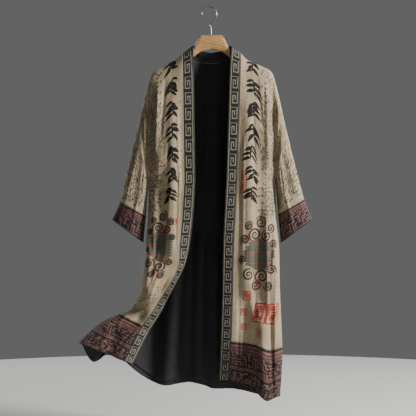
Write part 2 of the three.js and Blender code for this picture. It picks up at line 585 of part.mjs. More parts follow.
// The steel hook: a round wire over the crown and down into the wood's top.
function addHook() {
  const centre = vec(-HANGER_OFFSET, 0, -HOOK_RADIUS + HOOK_WIRE / 2);
  const arc = spread(HOOK_STEPS, HOOK_TIP_TURN, HOOK_END_TURN).map((turn) =>
    vec(centre.x + HOOK_RADIUS * Math.cos(turn), 0, centre.z + HOOK_RADIUS * Math.sin(turn)),
  );
  const foot = vec(0, 0, HANGER[0].top + SEAM_GAP);
  const neck = new THREE.CatmullRomCurve3([arc.at(-2), arc.at(-1), ...HOOK_NECK.map(([x, z]) => vec(x, 0, z)), foot]);
  const line = [...arc, ...neck.getPoints(24).slice(4)];
  const rings = line.map((point, i) => {
    const way = line[Math.min(i + 1, line.length - 1)].clone().sub(line[Math.max(i - 1, 0)]).normalize();
    const across = vec(way.z, 0, -way.x);
    return spread(HOOK_AROUND, 0, 2 * Math.PI).slice(0, -1).map((turn) =>
      point.clone()
        .addScaledVector(across, (Math.cos(turn) * HOOK_WIRE) / 2)
        .add(vec(0, (Math.sin(turn) * HOOK_WIRE) / 2, 0)),
    );
  });
  add('hanger_hook', loft(rings), 'steel');
}

['right', 'left'].forEach(addFront);
addBack();
['right', 'left'].forEach(addSleeve);
addHanger();
addHook();

const part = new THREE.Group();
part.add(robe);

export default part;
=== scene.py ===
"""Looks of a long open-front robe with a fretted neckband and banded cuffs and hem, on a wooden hanger.

Each piece of cloth is a thin shell on a surface of two parameters, worked out in millimetres from the sizes
that the solids have, with finer creases, prints and sewing laid on it. Right and left are the wearer's.
"""

import logging
import math
from dataclasses import dataclass, field
from enum import Enum
from typing import Callable

import bpy
import numpy as np
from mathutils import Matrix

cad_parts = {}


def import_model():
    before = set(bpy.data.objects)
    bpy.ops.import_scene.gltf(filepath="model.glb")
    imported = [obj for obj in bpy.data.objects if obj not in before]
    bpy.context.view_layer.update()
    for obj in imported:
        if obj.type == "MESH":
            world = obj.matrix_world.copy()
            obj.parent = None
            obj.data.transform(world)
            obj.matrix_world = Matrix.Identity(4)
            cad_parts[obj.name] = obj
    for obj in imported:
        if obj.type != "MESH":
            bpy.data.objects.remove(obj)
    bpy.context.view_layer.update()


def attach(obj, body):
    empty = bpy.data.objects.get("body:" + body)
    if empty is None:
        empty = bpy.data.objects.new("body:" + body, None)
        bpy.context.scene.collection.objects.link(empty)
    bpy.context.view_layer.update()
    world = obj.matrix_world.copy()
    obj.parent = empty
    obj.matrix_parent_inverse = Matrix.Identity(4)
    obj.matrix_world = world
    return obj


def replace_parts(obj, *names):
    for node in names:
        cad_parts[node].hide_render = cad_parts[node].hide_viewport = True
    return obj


Array = np.ndarray
Colour = tuple[float, float, float]
log = logging.getLogger("robe")

BODY = "root"
MILLIMETRE = 0.001
HANGER_OFFSET = 6.7  # the robe hangs this far to the left of the hook's crown

SHELL_WALL = 2.2
LINING_WALL = 1.2
SEAM_GAP = 0.3
LAYER_GAP = 0.4
BAND_WALL = SHELL_WALL + LAYER_GAP + LINING_WALL
SHELL = (0.0, SHELL_WALL)
BAND = (0.0, BAND_WALL)
LINING = (SHELL_WALL + LAYER_GAP, BAND_WALL)
INK_LIFT = 0.3


class Side(Enum):
    """A half of the robe, by the wearer."""

    RIGHT = "right"
    LEFT = "left"


class Face(Enum):
    """The front or the back of the robe."""

    FRONT = "front"
    BACK = "back"


def ease(value: Array | float) -> Array:
    """A smooth step from 0 to 1: t squared times (3 - 2t)."""
    t = np.clip(value, 0.0, 1.0)
    return t * t * (3.0 - 2.0 * t)


def mix(a: Array | float, b: Array | float, share: Array | float) -> Array:
    """The value this share of the way from a to b."""
    return a + (b - a) * share


def hump(place: Array) -> Array:
    """A smooth hump: the squared cosine of a quarter turn times place, and nothing beyond -1 and 1."""
    return np.where(np.abs(place) < 1.0, np.cos(place * np.pi / 2.0) ** 2, 0.0)


def unit(vectors: Array) -> Array:
    """The vectors at length 1."""
    return vectors / np.maximum(np.linalg.norm(vectors, axis=-1, keepdims=True), 1e-12)


def stack(x: Array | float, y: Array | float, z: Array | float) -> Array:
    """Points from their three coordinates."""
    return np.stack(np.broadcast_arrays(x, y, z), axis=-1).astype(float)


class Table:
    """A table with named columns, read on a smooth curve through its rows."""

    def __init__(self, columns: str, *rows: tuple[float, ...]) -> None:
        """Names the columns. The first one is the key."""
        values = np.array(rows, dtype=float)
        self.columns = {name: values[:, i] for i, name in enumerate(columns.split())}
        self.key = values[:, 0]

    def __call__(self, column: str, place: Array | float) -> Array:
        """A column between its rows: a cubic whose slope at a row is that between the rows beside it.

        Args:
            column: The column's name.
            place: Values of the key.

        Returns:
            The column's values there.
        """
        x, y, last = self.key, self.columns[column], len(self.key) - 1
        place = np.asarray(place, dtype=float)
        i = np.searchsorted(x[1:-1], place, side="left")

        def tangent(k: Array) -> Array:
            """The slope between the rows beside row k."""
            before, after = np.maximum(k - 1, 0), np.minimum(k + 1, last)
            return (y[after] - y[before]) / (x[after] - x[before])

        span = x[i + 1] - x[i]
        t = np.clip((place - x[i]) / span, 0.0, 1.0)
        bend = span * t * (1.0 - t) * ((1.0 - t) * tangent(i) - t * tangent(i + 1))
        return mix(y[i], y[i + 1], t * t * (3.0 - 2.0 * t)) + bend

    def rows(self) -> list[dict[str, float]]:
        """The rows as named values."""
        return [dict(zip(self.columns, row)) for row in zip(*self.columns.values())]


SHOULDERS = {
    Side.RIGHT: Table(
        "at x z",
        (0, -250, -412),
        (0.303, -228, -316),
        (0.519, -211, -248),
        (0.615, -199, -219),
        (0.757, -159, -196),
        (0.894, -121, -174),
        (1, -95, -152),
    ),
    Side.LEFT: Table(
        "at x z",
        (0, 247, -392),
        (0.24, 233, -326),
        (0.49, 213, -245),
        (0.6, 200, -214),
        (0.72, 168, -196),
        (0.89, 121, -175),
        (1, 98, -152),
    ),
}
NECKLINE = Table(
    "at share y z",
    (0, 1, 0, -152),
    (0.35, 0.72, 27, -163),
    (0.7, 0.36, 42, -178),
    (1, 0, 46, -184),
)
SECTION_COLUMNS = "drop turn sideX sideY sideZ front back edgeX edgeY edgeZ bandX bandY bandZ"
SECTIONS = {
    Side.RIGHT: Table(
        SECTION_COLUMNS,
        (0, 64, -209, 0, -580, -54, 52, -89, -50, -580, 36.5, 0, 0),
        (110, 44, -211, 0, -691, -56, 54, -95, -52, -688, 36, 6, 0),
        (210, 34, -219, -2, -785, -60, 56, -104, -58, -793, 33, 15, 0),
        (290, 32, -228, -5, -850, -72, 58, -109, -68, -863, 20, 30, -2),
        (360, 30, -234, -9, -909, -90, 60, -136, -76, -919, 16, 31, -9),
        (415, 34, -239, -14, -953, -97, 60, -161, -70, -961, 18, 29, -10),
        (465, 40, -257, -20, -988, -74, 56, -189, -72, -1004, 23, 25, -13),
        (505, 46, -278, -26, -1013, -62, 52, -210, -82, -1034, 25, 22, -14),
        (540, 52, -304, -32, -1024, -70, 48, -228, -90, -1058, 27, 20, -15),
        (595, 60, -352, -42, -1043, -92, 40, -247, -116, -1093, 28, 18, -15),
        (640, 66, -388, -54, -1068, -110, 30, -263, -141, -1124, 28, 17, -15),
        (705, 72, -434, -80, -1111, -146, 8, -280, -185, -1160, 27, 18, -12),
    ),
    Side.LEFT: Table(
        SECTION_COLUMNS,
        (0, 64, 214, 0, -580, -54, 52, 85, -50, -580, -36.5, 0, 0),
        (110, 44, 217, 0, -691, -56, 54, 79, -52, -688, -36.5, 2, 0),
        (205, 34, 226, -2, -784, -58, 56, 74, -53, -784, -36, 4, 0),
        (380, 28, 230, -5, -955, -62, 58, 70, -55, -957, -35, 6, 0),
        (540, 30, 237, -10, -1135, -68, 60, 65, -50, -1114, -35, 7, 0),
        (630, 34, 235, -13, -1225, -76, 60, 62, -33, -1195, -34, 8, 0),
        (705, 36, 229, -16, -1296, -84, 58, 59, 0, -1250, -32, 9, 0),
    ),
}
CENTRE = Table("drop y z", (0, 50, -580), (300, 52, -879), (540, 54, -1118), (705, 55, -1281))
FOLD_COLUMNS = "topX topZ footX footZ width depth"
FRONT_FOLDS = {
    Side.RIGHT: Table(
        FOLD_COLUMNS,
        (-194, -232, -212, -590, 21, -19),
        (-124, -250, -132, -880, 32, 8),
        (-158, -500, -182, -900, 28, -12),
        (-300, -1010, -365, -1300, 30, -12),
    ),
    Side.LEFT: Table(
        FOLD_COLUMNS,
        (200, -228, 217, -600, 21, -19),
        (124, -250, 118, -1020, 32, 8),
        (164, -440, 156, -1060, 30, -10),
        (112, -940, 128, -1400, 28, -17),
        (168, -960, 172, -1400, 34, 17),
    ),
}
BACK_FOLDS = Table(
    FOLD_COLUMNS,
    (-92, -640, -157, -1300, 46, -26),
    (-150, -420, -230, -1400, 48, 14),
    (-32, -700, -44, -1400, 34, -16),
    (-330, -1040, -352, -1400, 46, -12),
    (18, -760, 14, -1400, 36, -13),
    (72, -360, 66, -1400, 42, 15),
    (118, -560, 128, -1400, 38, -18),
    (176, -330, 178, -1400, 36, 11),
)
# Finer creases, along lines in the front view as the folds are. Their depths are for a gain of 1
FRONT_CREASES = {
    Side.RIGHT: Table(
        FOLD_COLUMNS,
        (-233, -330, -221, -560, 8, -3.0),
        (-176, -250, -188, -520, 11, 2.6),
        (-150, -225, -171, -470, 9, -2.4),
        (-140, -430, -152, -770, 9, -2.2),
        (-112, -330, -104, -640, 8, 1.8),
        (-110, -520, -119, -820, 8, -2.0),
        (-206, -640, -195, -860, 10, -3.4),
        (-172, -740, -208, -950, 11, -3.2),
        (-150, -820, -216, -1010, 9, 2.4),
        (-130, -880, -200, -1000, 10, -2.6),
        (-196, -900, -264, -1040, 9, -2.6),
        (-232, -960, -334, -1090, 12, 3.2),
        (-262, -1005, -392, -1105, 10, -3.0),
        (-226, -1035, -330, -1160, 10, -2.6),
        (-262, -1060, -410, -1180, 11, 2.8),
        (-120, -952, -390, -1070, 50, -14.0),
        (-207, -320, -194, -640, 26, -6.0),
    ),
    Side.LEFT: Table(
        FOLD_COLUMNS,
        (229, -330, 221, -570, 8, -3.0),
        (184, -250, 190, -560, 11, 2.6),
        (150, -226, 172, -430, 9, -2.4),
        (138, -330, 147, -660, 9, -2.2),
        (108, -420, 103, -900, 8, 1.8),
        (96, -560, 92, -980, 7, -1.6),
        (204, -600, 195, -900, 11, -3.8),
        (180, -690, 187, -1040, 9, 2.6),
        (216, -820, 209, -1150, 9, 2.8),
        (142, -760, 136, -1020, 9, -2.2),
        (92, -960, 88, -1400, 9, -3.0),
        (144, -900, 150, -1400, 10, -3.0),
        (196, -1000, 205, -1400, 11, -3.6),
        (124, -1090, 112, -1400, 7, 2.0),
        (207, -320, 196, -640, 24, -5.0),
    ),
}
BACK_CREASES = Table(
    FOLD_COLUMNS,
    (-205, -300, -196, -620, 10, -3.2),
    (-170, -260, -150, -560, 12, 2.6),
    (-118, -240, -98, -520, 11, -2.4),
    (-70, -230, -58, -680, 12, 2.2),
    (-22, -235, -16, -560, 10, -2.2),
    (34, -240, 40, -640, 12, 2.4),
    (104, -250, 96, -520, 10, -2.6),
    (150, -240, 160, -620, 12, -2.8),
    (206, -310, 200, -640, 10, -3.0),
    (-190, -640, -222, -1040, 13, -3.4),
    (-128, -700, -196, -1120, 12, 3.0),
    (-96, -820, -120, -1400, 11, -2.8),
    (-60, -900, -84, -1400, 12, 3.0),
    (-248, -900, -320, -1200, 13, 3.2),
    (42, -700, 40, -1400, 11, -2.6),
    (92, -840, 98, -1400, 10, -2.6),
    (146, -780, 150, -1400, 12, 2.8),
    (202, -760, 206, -1400, 11, -3.2),
)
LOBE_COLUMNS = "across width sag"
HEM_LOBES = {
    (Side.RIGHT, Face.BACK): Table(LOBE_COLUMNS, (0.2, 0.17, 60), (0.62, 0.32, 54)),
    (Side.LEFT, Face.FRONT): Table(LOBE_COLUMNS, (0.36, 0.24, 20)),
    (Side.LEFT, Face.BACK): Table(LOBE_COLUMNS, (0.35, 0.25, 14)),
}
SLEEVE_COLUMNS = "at topX topZ underX underZ y depth"
SLEEVES = {
    Side.RIGHT: Table(
        SLEEVE_COLUMNS,
        (0, -250, -412, -209, -580, 0, 42),
        (0.45, -279, -535, -215, -645, 2, 47),
        (0.8, -306, -650, -219, -698, 4, 47),
        (1, -332, -709, -227, -785, 4, 45),
    ),
    Side.LEFT: Table(
        SLEEVE_COLUMNS,
        (0, 247, -392, 214, -580, 0, 42),
        (0.45, 282, -535, 220, -640, 2, 47),
        (0.8, 311, -641, 224, -692, 4, 47),
        (1, 338, -707, 233, -786, 4, 45),
    ),
}
SLEEVE_FOLDS = Table("turn width depth", (0.24, 0.09, -9), (0.38, 0.08, 5), (0.7, 0.1, -8))
# Finer creases of a sleeve: turn at its armhole, swing by its cuff, half width, run that it covers, depth
SLEEVE_CREASES = Table(
    "turn swing width start end depth",
    (0.12, 0.06, 0.022, 0.05, 0.7, -2.6),
    (0.17, -0.03, 0.026, 0.3, 1.1, 2.4),
    (0.3, 0.05, 0.024, 0.02, 0.55, -2.8),
    (0.33, -0.05, 0.028, 0.45, 1.1, 2.6),
    (0.44, 0.03, 0.02, 0.1, 0.6, -2.2),
    (0.56, -0.04, 0.022, 0.1, 0.8, -2.6),
    (0.62, 0.05, 0.028, 0.2, 1.1, 2.6),
    (0.78, -0.06, 0.026, 0.04, 0.7, -2.8),
    (0.86, 0.04, 0.024, 0.35, 1.1, 2.4),
)
# Slow sines along slanting directions: their spacing across and down, their height and where they start
RIPPLES = Table(
    "wide high size start",
    (83, 410, 0.55, 0.4),
    (57, -290, 0.4, 2.1),
    (131, 173, 0.35, 4.0),
    (41, 620, 0.2, 1.2),
)


@dataclass(frozen=True)
class RobeForm:
    """The outside of the robe as functions of two parameters, in millimetres."""

    skirt_length: float = 705.0
    hem_band_depth: float = 165.0
    lining_short: float = 14.0
    side_turn: float = 0.28
    armhole_depth: float = 42.0
    shoulder_rest: float = 16.0
    collar_width: float = 36.5
    neck_start: float = 8.0 / 13.0
    lobe_start: float = 1.5
    cuff_start: float = 0.8
    collar_rise: float = 25.0
    collar_reach: float = 33.0
    collar_height: float = 38.0
    collar_end: float = 0.42
    fold_fade: float = 110.0
    crease_fade: float = 60.0
    crease_gain: float = 1.5

    @property
    def band_line(self) -> float:
        """The fall where the hem band is sewn on."""
        return 1.0 + (self.skirt_length - self.hem_band_depth) / self.skirt_length

    @property
    def lining_end(self) -> float:
        """The fall where the lining ends."""
        return 1.0 + (self.skirt_length - self.lining_short) / self.skirt_length

    def rows(self, top: int, skirt: int) -> Array:
        """Falls from the top edge to the band line, as many above the underarm and below it as said."""
        return np.concatenate([np.linspace(0, 1, top + 1), np.linspace(1, self.band_line, skirt + 1)[1:]])

    def skirt(self, side: Side, face: Face, across: Array, drop: Array) -> Array:
        """Points below the underarm: a quarter ellipse round the side seam, then level to the inner edge."""
        rows = SECTIONS[side]
        seam = stack(rows("sideX", drop), rows("sideY", drop), rows("sideZ", drop))
        if face is Face.FRONT:
            inner = stack(rows("edgeX", drop), rows("edgeY", drop), rows("edgeZ", drop))
        else:
            inner = stack(0.0, CENTRE("y", drop), CENTRE("z", drop))
        turn = np.clip(across / self.side_turn, 0, 1) * np.pi / 2
        level = np.clip((across - self.side_turn) / (1 - self.side_turn), 0, 1)
        reach = np.hypot(inner[..., 0] - seam[..., 0], inner[..., 2] - seam[..., 2])
        share = mix(rows("turn", drop) / reach * (1 - np.cos(turn)), 1.0, level)
        depth = mix(seam[..., 1], rows(face.value, drop), np.sin(turn))
        x = mix(seam[..., 0], inner[..., 0], share)
        z = mix(seam[..., 2], inner[..., 2], share)
        return stack(x, mix(depth, inner[..., 1], ease(level)), z)

    def top(self, side: Side, face: Face, across: Array) -> Array:
        """Points of a panel's top edge: the shoulder's fold, and on the back the neckline too."""
        rows = SHOULDERS[side]
        end = 1.0 if face is Face.FRONT else self.neck_start
        place = np.clip(across / end, 0, 1)
        shoulder = stack(rows("x", place), 0.0, rows("z", place))
        if face is Face.FRONT:
            return shoulder
        place = np.clip((across - end) / (1 - end), 0, 1)
        neck_x = rows.columns["x"][-1]
        neck = stack(neck_x * NECKLINE("share", place), NECKLINE("y", place), NECKLINE("z", place))
        return np.where((across <= end)[..., None], shoulder, neck)

    @staticmethod
    def folds(table: Table, fade: float, x: Array, z: Array) -> Array:
        """How far folds push outwards: each one a hump across its line, faded over a length at both ends."""
        total = np.zeros(np.broadcast(x, z).shape)
        for row in table.rows():
            down = np.clip((row["topZ"] - z) / (row["topZ"] - row["footZ"]), 0, 1)
            fading = ease((row["topZ"] - z) / fade) * ease((z - row["footZ"]) / fade)
            line = mix(row["topX"], row["footX"], down)
            total += row["depth"] * fading * hump((x - line) / row["width"])
        return total

    def body(self, side: Side, face: Face, across: Array, fall: Array) -> Array:
        """Points of the outside. A fall of 0 is the top edge, 1 the underarm and 2 the hem.

        Above the underarm a column turns half round from the top edge to the underarm. It starts level on the
        shoulder and straight down under the neckline, and at the side it is the armhole's half ellipse.

        Args:
            side: The half of the robe.
            face: Its front or back.
            across: From the side seam, at 0, to the inner edge, at 1.
            fall: How far down, on one grid with across.

        Returns:
            The points, with folds, creases and the lobes of the hem.
        """
        across, fall = np.broadcast_arrays(np.asarray(across, float), np.asarray(fall, float))
        out = -1.0 if face is Face.FRONT else 1.0
        drop = np.maximum(fall - 1, 0) * self.skirt_length
        low = self.skirt(side, face, across, drop)
        turn = np.pi * np.minimum(fall, 1)
        under_neck = ease((across - self.neck_start) / 0.15) if face is Face.BACK else np.zeros_like(across)
        share = mix((1 - np.cos(turn)) / 2, np.minimum(fall, 1), under_neck)
        top = self.top(side, face, across)
        bottom = self.skirt(side, face, across, np.zeros_like(drop))
        on_shoulder = ease(across / 0.3)
        rest = self.shoulder_rest * on_shoulder * (1 - under_neck)
        full = np.sin(np.minimum(turn, np.pi / 2)) ** mix(1.0, 1.5, on_shoulder)
        start = np.sin(np.minimum(2.2 * turn, np.pi / 2))
        armhole = self.armhole_depth * np.sin(turn) * (1 - on_shoulder)
        fallen = mix(top[..., 1], bottom[..., 1] - out * rest, full) + out * rest * start
        x, z = (mix(top[..., i], bottom[..., i], share) for i in (0, 2))
        high = stack(x, out * np.hypot(fallen, armhole), z)
        point = np.where((fall >= 1)[..., None], low, high)
        seam_y = np.where(fall >= 1, SECTIONS[side]("sideY", drop), 0.0)
        clear = np.abs(point[..., 1] - seam_y)
        main = FRONT_FOLDS[side] if face is Face.FRONT else BACK_FOLDS
        fine = FRONT_CREASES[side] if face is Face.FRONT else BACK_CREASES
        x, z = point[..., 0].copy(), point[..., 2].copy()
        point[..., 1] += out * self.folds(main, self.fold_fade, x, z) * ease((clear - 10) / 26)
        small = self.crease_gain * self.folds(fine, self.crease_fade, x, z) + ripple(x, z)
        point[..., 1] += out * small * ease((clear - 12) / 22)
        for lobe in HEM_LOBES[side, face].rows() if (side, face) in HEM_LOBES else ():
            sag = lobe["sag"] * hump((across - lobe["across"]) / lobe["width"])
            point[..., 2] -= ease((fall - self.lobe_start) / (2 - self.lobe_start)) * sag
        return point

    def band_way(self, side: Side, fall: Array) -> Array:
        """The way across the neckband, from its seam to its free edge, rising into the collar at the top."""
        inward = 1.0 if side is Side.RIGHT else -1.0
        rows, drop = SECTIONS[side], np.maximum(fall - 1, 0) * self.skirt_length
        rise = 1 - ease(fall / self.collar_end)
        low = stack(rows("bandX", drop), rows("bandY", drop), rows("bandZ", drop))
        high = stack(inward * mix(self.collar_width, self.collar_reach, rise), 0.0, self.collar_rise * rise)
        return np.where((fall >= 1)[..., None], low, high)

    def collar_way(self, across: Array) -> Array:
        """The way across the collar behind the neck, at places across the back from -1 to 1."""
        place = 1 - np.abs(across) / (1 - self.neck_start)
        inward = np.where(across < 0, 1.0, -1.0)
        reach = inward * self.collar_reach * (1 - ease(place / 0.7))
        rise = mix(self.collar_rise, self.collar_height, ease(place / 0.3))
        return stack(reach, 4 * np.sin(np.pi * place), rise)

    def armhole_inward(self, side: Side, face: Face, fall: Array) -> Array:
        """The way into the robe in the plane of the armhole's ellipse, which body and sleeve share."""
        start = SLEEVES[side].rows()[0]
        long = np.array([start["topX"] - start["underX"], 0.0, start["topZ"] - start["underZ"]])
        length = np.linalg.norm(long)
        out = -1.0 if face is Face.FRONT else 1.0
        up = (np.cos(np.pi * fall) / (length / 2))[..., None] * long / length
        return -unit(up + stack(0.0, out * np.sin(np.pi * fall) / self.armhole_depth, 0.0))

    def sleeve(self, side: Side, turn: Array, run: Array) -> Array:
        """Points of a sleeve. run goes from the armhole to the cuff's edge, turn once round from the fold."""
        rows, angle = SLEEVES[side], turn * 2 * np.pi
        middle = (1 + np.cos(angle)) / 2
        folds = sum(row["depth"] * hump((turn - row["turn"]) / row["width"]) for row in SLEEVE_FOLDS.rows())
        folds = folds * np.sin(np.pi * np.minimum(run * 1.1, 0.92))
        for row in SLEEVE_CREASES.rows():
            length = row["end"] - row["start"]
            fading = ease((run - row["start"]) / (0.3 * length)) * ease((row["end"] - run) / (0.3 * length))
            line = row["turn"] + row["swing"] * run
            folds = folds + row["depth"] * fading * hump((turn - line) / row["width"])
        depth = rows("depth", run) * np.sin(angle)
        x = mix(rows("underX", run), rows("topX", run), middle)
        z = mix(rows("underZ", run), rows("topZ", run), middle)
        return stack(x, rows("y", run) - depth - np.sign(np.sin(angle)) * folds, z)


def ripple(x: Array, z: Array) -> Array:
    """Small uneven waves of hanging cloth, which add up to under 1.5 mm."""
    waves = (
        row["size"] * np.sin(2 * np.pi * (x / row["wide"] + z / row["high"]) + row["start"])
        for row in RIPPLES.rows()
    )
    return sum(waves)


FORM = RobeForm()


@dataclass(frozen=True)
class Cut:
    """The flat size that a piece of cloth is cut to, in metres, and its area where it isn't a rectangle."""

    width: float
    length: float
    area: float | None = None

    def declare(
        self,
        cloth: bpy.types.Object,
        rests_on: list[bpy.types.Object | str],
        with_pieces: list[bpy.types.Object] | None = None,
    ) -> None:
        """Says that the piece is hung cloth of this cut, what it hangs from and what is on it."""


@dataclass
class Surface:
    """A grid of points on the outside of a piece, with the ways into it and its own lengths."""

    points: Array
    inward: Array
    u: Array
    v: Array
    closed: bool = False

    @classmethod
    def over(cls, points: Array, inside: Array, closed: bool = False, middle: int = 0) -> "Surface":
        """A surface over a grid: ways inward from the cross products of its steps, lengths from its spacing.

        Args:
            points: Rows of points.
            inside: A point inside, which says which way inward is.
            closed: Whether the last column joins the first.
            middle: The column where u is 0.

        Returns:
            The surface.
        """
        down = np.gradient(points, axis=0)
        if closed:
            along = (np.roll(points, -1, axis=1) - np.roll(points, 1, axis=1)) / 2
        else:
            along = np.gradient(points, axis=1)
        normals = np.cross(down, along)
        if (normals * (inside - points)).sum() < 0:
            normals = -normals
        steps = np.linalg.norm(np.diff(points, axis=1), axis=-1)
        u = np.concatenate([np.zeros((len(points), 1)), np.cumsum(steps, axis=1)], axis=1)
        drops = np.linalg.norm(np.diff(points, axis=0), axis=-1).mean(axis=1)
        v = np.concatenate([[0.0], np.cumsum(drops)])
        return cls(points, unit(normals), u - u[:, middle : middle + 1], v, closed)

    def cut(self, rows: slice = slice(None), columns: slice = slice(None)) -> "Surface":
        """Part of the surface, with its lengths kept."""
        points, inward, u = (grid[rows, columns] for grid in (self.points, self.inward, self.u))
        return Surface(points, inward, u, self.v[rows], self.closed)

    def sewn_on(self, first: int, gap: float) -> "Surface":
        """The surface from a row down, a gap below that row, with its lengths down from its own seam."""
        part = self.cut(slice(first, None))
        points = part.points.copy()
        points[0] += unit(points[1] - points[0]) * gap
        return Surface(points, part.inward, part.u, part.v - part.v[0], self.closed)

    def edges(self, v: float) -> tuple[float, float]:
        """The lengths u of the first and the last column, at a length down."""
        start, end = (float(np.interp(v, self.v, self.u[:, column])) for column in (0, -1))
        return start, end

    def at(self, u: Array, v: Array, lift: Array | float = 0.0) -> Array:
        """Points this far outside the surface, at lengths u and v on it, between its grid's points."""
        row = np.interp(v, self.v, np.arange(len(self.v)))
        r = np.clip(row.astype(int), 0, len(self.v) - 2)
        down = (row - r)[..., None]
        lengths = mix(self.u[r], self.u[r + 1], down)
        c = np.clip((lengths < u[..., None]).sum(axis=-1) - 1, 0, lengths.shape[-1] - 2)
        before = np.take_along_axis(lengths, c[..., None], -1)[..., 0]
        after = np.take_along_axis(lengths, c[..., None] + 1, -1)[..., 0]
        over = np.clip((u - before) / (after - before), 0, 1)[..., None]
        lift = np.broadcast_to(lift, u.shape)[..., None]

        def corner(i: Array, j: Array) -> Array:
            """A grid point and the lift there."""
            return self.points[i, j] - lift * self.inward[i, j]

        high = mix(corner(r, c), corner(r, c + 1), over)
        return mix(high, mix(corner(r + 1, c), corner(r + 1, c + 1), over), down)

    def v_at(self, z: float, column: int) -> float:
        """The length down the surface where a column passes a height."""
        return float(np.interp(-z, -self.points[:, column, 2], self.v))


def add_mesh(
    name: str,
    vertices: Array,
    faces: Array,
    uv: Array,
    materials: list[bpy.types.Material],
    slots: Array | None = None,
) -> bpy.types.Object:
    """Makes a piece that rides on the part's body.

    Args:
        name: The piece's name.
        vertices: Points in millimetres, before the robe's shift from the hook.
        faces: Corners of four-sided faces.
        uv: A pair for each corner of each face, in millimetres.
        materials: The finishes.
        slots: Which finish each face has.

    Returns:
        The object.
    """
    placed = (vertices + np.array([HANGER_OFFSET, 0.0, 0.0])) * MILLIMETRE
    mesh = bpy.data.meshes.new(name)
    mesh.from_pydata(placed.tolist(), [], faces.tolist())
    mesh.uv_layers.new(name="cloth").data.foreach_set("uv", (uv * MILLIMETRE).astype(np.float32).ravel())
    mesh.polygons.foreach_set("use_smooth", np.ones(len(faces), dtype=bool))
    for material in materials:
        mesh.materials.append(material)
    if slots is not None:
        mesh.polygons.foreach_set("material_index", slots.astype(np.int32))
    mesh.update()
    piece = bpy.data.objects.new(name, mesh)
    bpy.context.scene.collection.objects.link(piece)
    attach(piece, BODY)
    log.info("%s: %d faces", name, len(faces))
    return piece


def add_shell(
    name: str, surface: Surface, depths: tuple[float, float], materials: list[bpy.types.Material]
) -> bpy.types.Object:
    """Makes a closed shell between two depths below a surface. The second finish is the inside's.

    Args:
        name: The piece's name.
        surface: Its outside.
        depths: Where its outer and inner faces lie, in millimetres inwards.
        materials: The outside's finish and, if it differs, the inside's.

    Returns:
        The object.
    """
    rows, columns = surface.points.shape[:2]
    wide = columns if surface.closed else columns - 1
    layers = [surface.points + surface.inward * depth for depth in depths]
    u = surface.u
    if surface.closed:
        last = np.linalg.norm(surface.points[:, 0] - surface.points[:, -1], axis=-1, keepdims=True)
        u = np.concatenate([u, u[:, -1:] + last], axis=1)

    def quads(corners: list[tuple[Array | int, Array | int, Array | int]]) -> tuple[Array, Array]:
        """Vertex numbers and lengths of faces, from each corner's layer, row and column."""
        ids, lengths = [], []
        for layer, r, c in corners:
            r, c = (part.ravel() for part in np.broadcast_arrays(r, c))
            ids.append(layer * rows * columns + r * columns + c % columns)
            lengths.append(np.stack([u[r, c], surface.v[r]], axis=-1))
        return np.stack(ids, axis=-1), np.stack(lengths, axis=1)

    r, c = np.arange(rows - 1)[:, None], np.arange(wide)[None, :]
    edge, bottom = np.arange(wide), rows - 1
    parts = [
        quads([(0, r, c), (0, r + 1, c), (0, r + 1, c + 1), (0, r, c + 1)]),
        quads([(1, r, c), (1, r, c + 1), (1, r + 1, c + 1), (1, r + 1, c)]),
        quads([(0, 0, edge), (0, 0, edge + 1), (1, 0, edge + 1), (1, 0, edge)]),
        quads([(0, bottom, edge), (1, bottom, edge), (1, bottom, edge + 1), (0, bottom, edge + 1)]),
    ]
    if not surface.closed:
        side, end = np.arange(rows - 1), columns - 1
        parts.append(quads([(0, side, 0), (1, side, 0), (1, side + 1, 0), (0, side + 1, 0)]))
        parts.append(quads([(0, side, end), (0, side + 1, end), (1, side + 1, end), (1, side, end)]))
    faces = np.concatenate([ids for ids, _ in parts])
    uv = np.concatenate([lengths for _, lengths in parts])
    has_inside = len(materials) > 1
    inner = [i == 1 and has_inside for i in range(len(parts))]
    slots = np.concatenate([np.full(len(ids), int(inside)) for (ids, _), inside in zip(parts, inner)])
    vertices = np.concatenate([layer.reshape(-1, 3) for layer in layers])
    first, second, third, fourth = (vertices[faces[:, i]] for i in range(4))
    volume = (first * (np.cross(second, third) + np.cross(third, fourth))).sum()
    if volume < 0:
        faces, uv = faces[:, ::-1], uv[:, ::-1]
    return add_mesh(name, vertices, faces, uv, materials, slots)


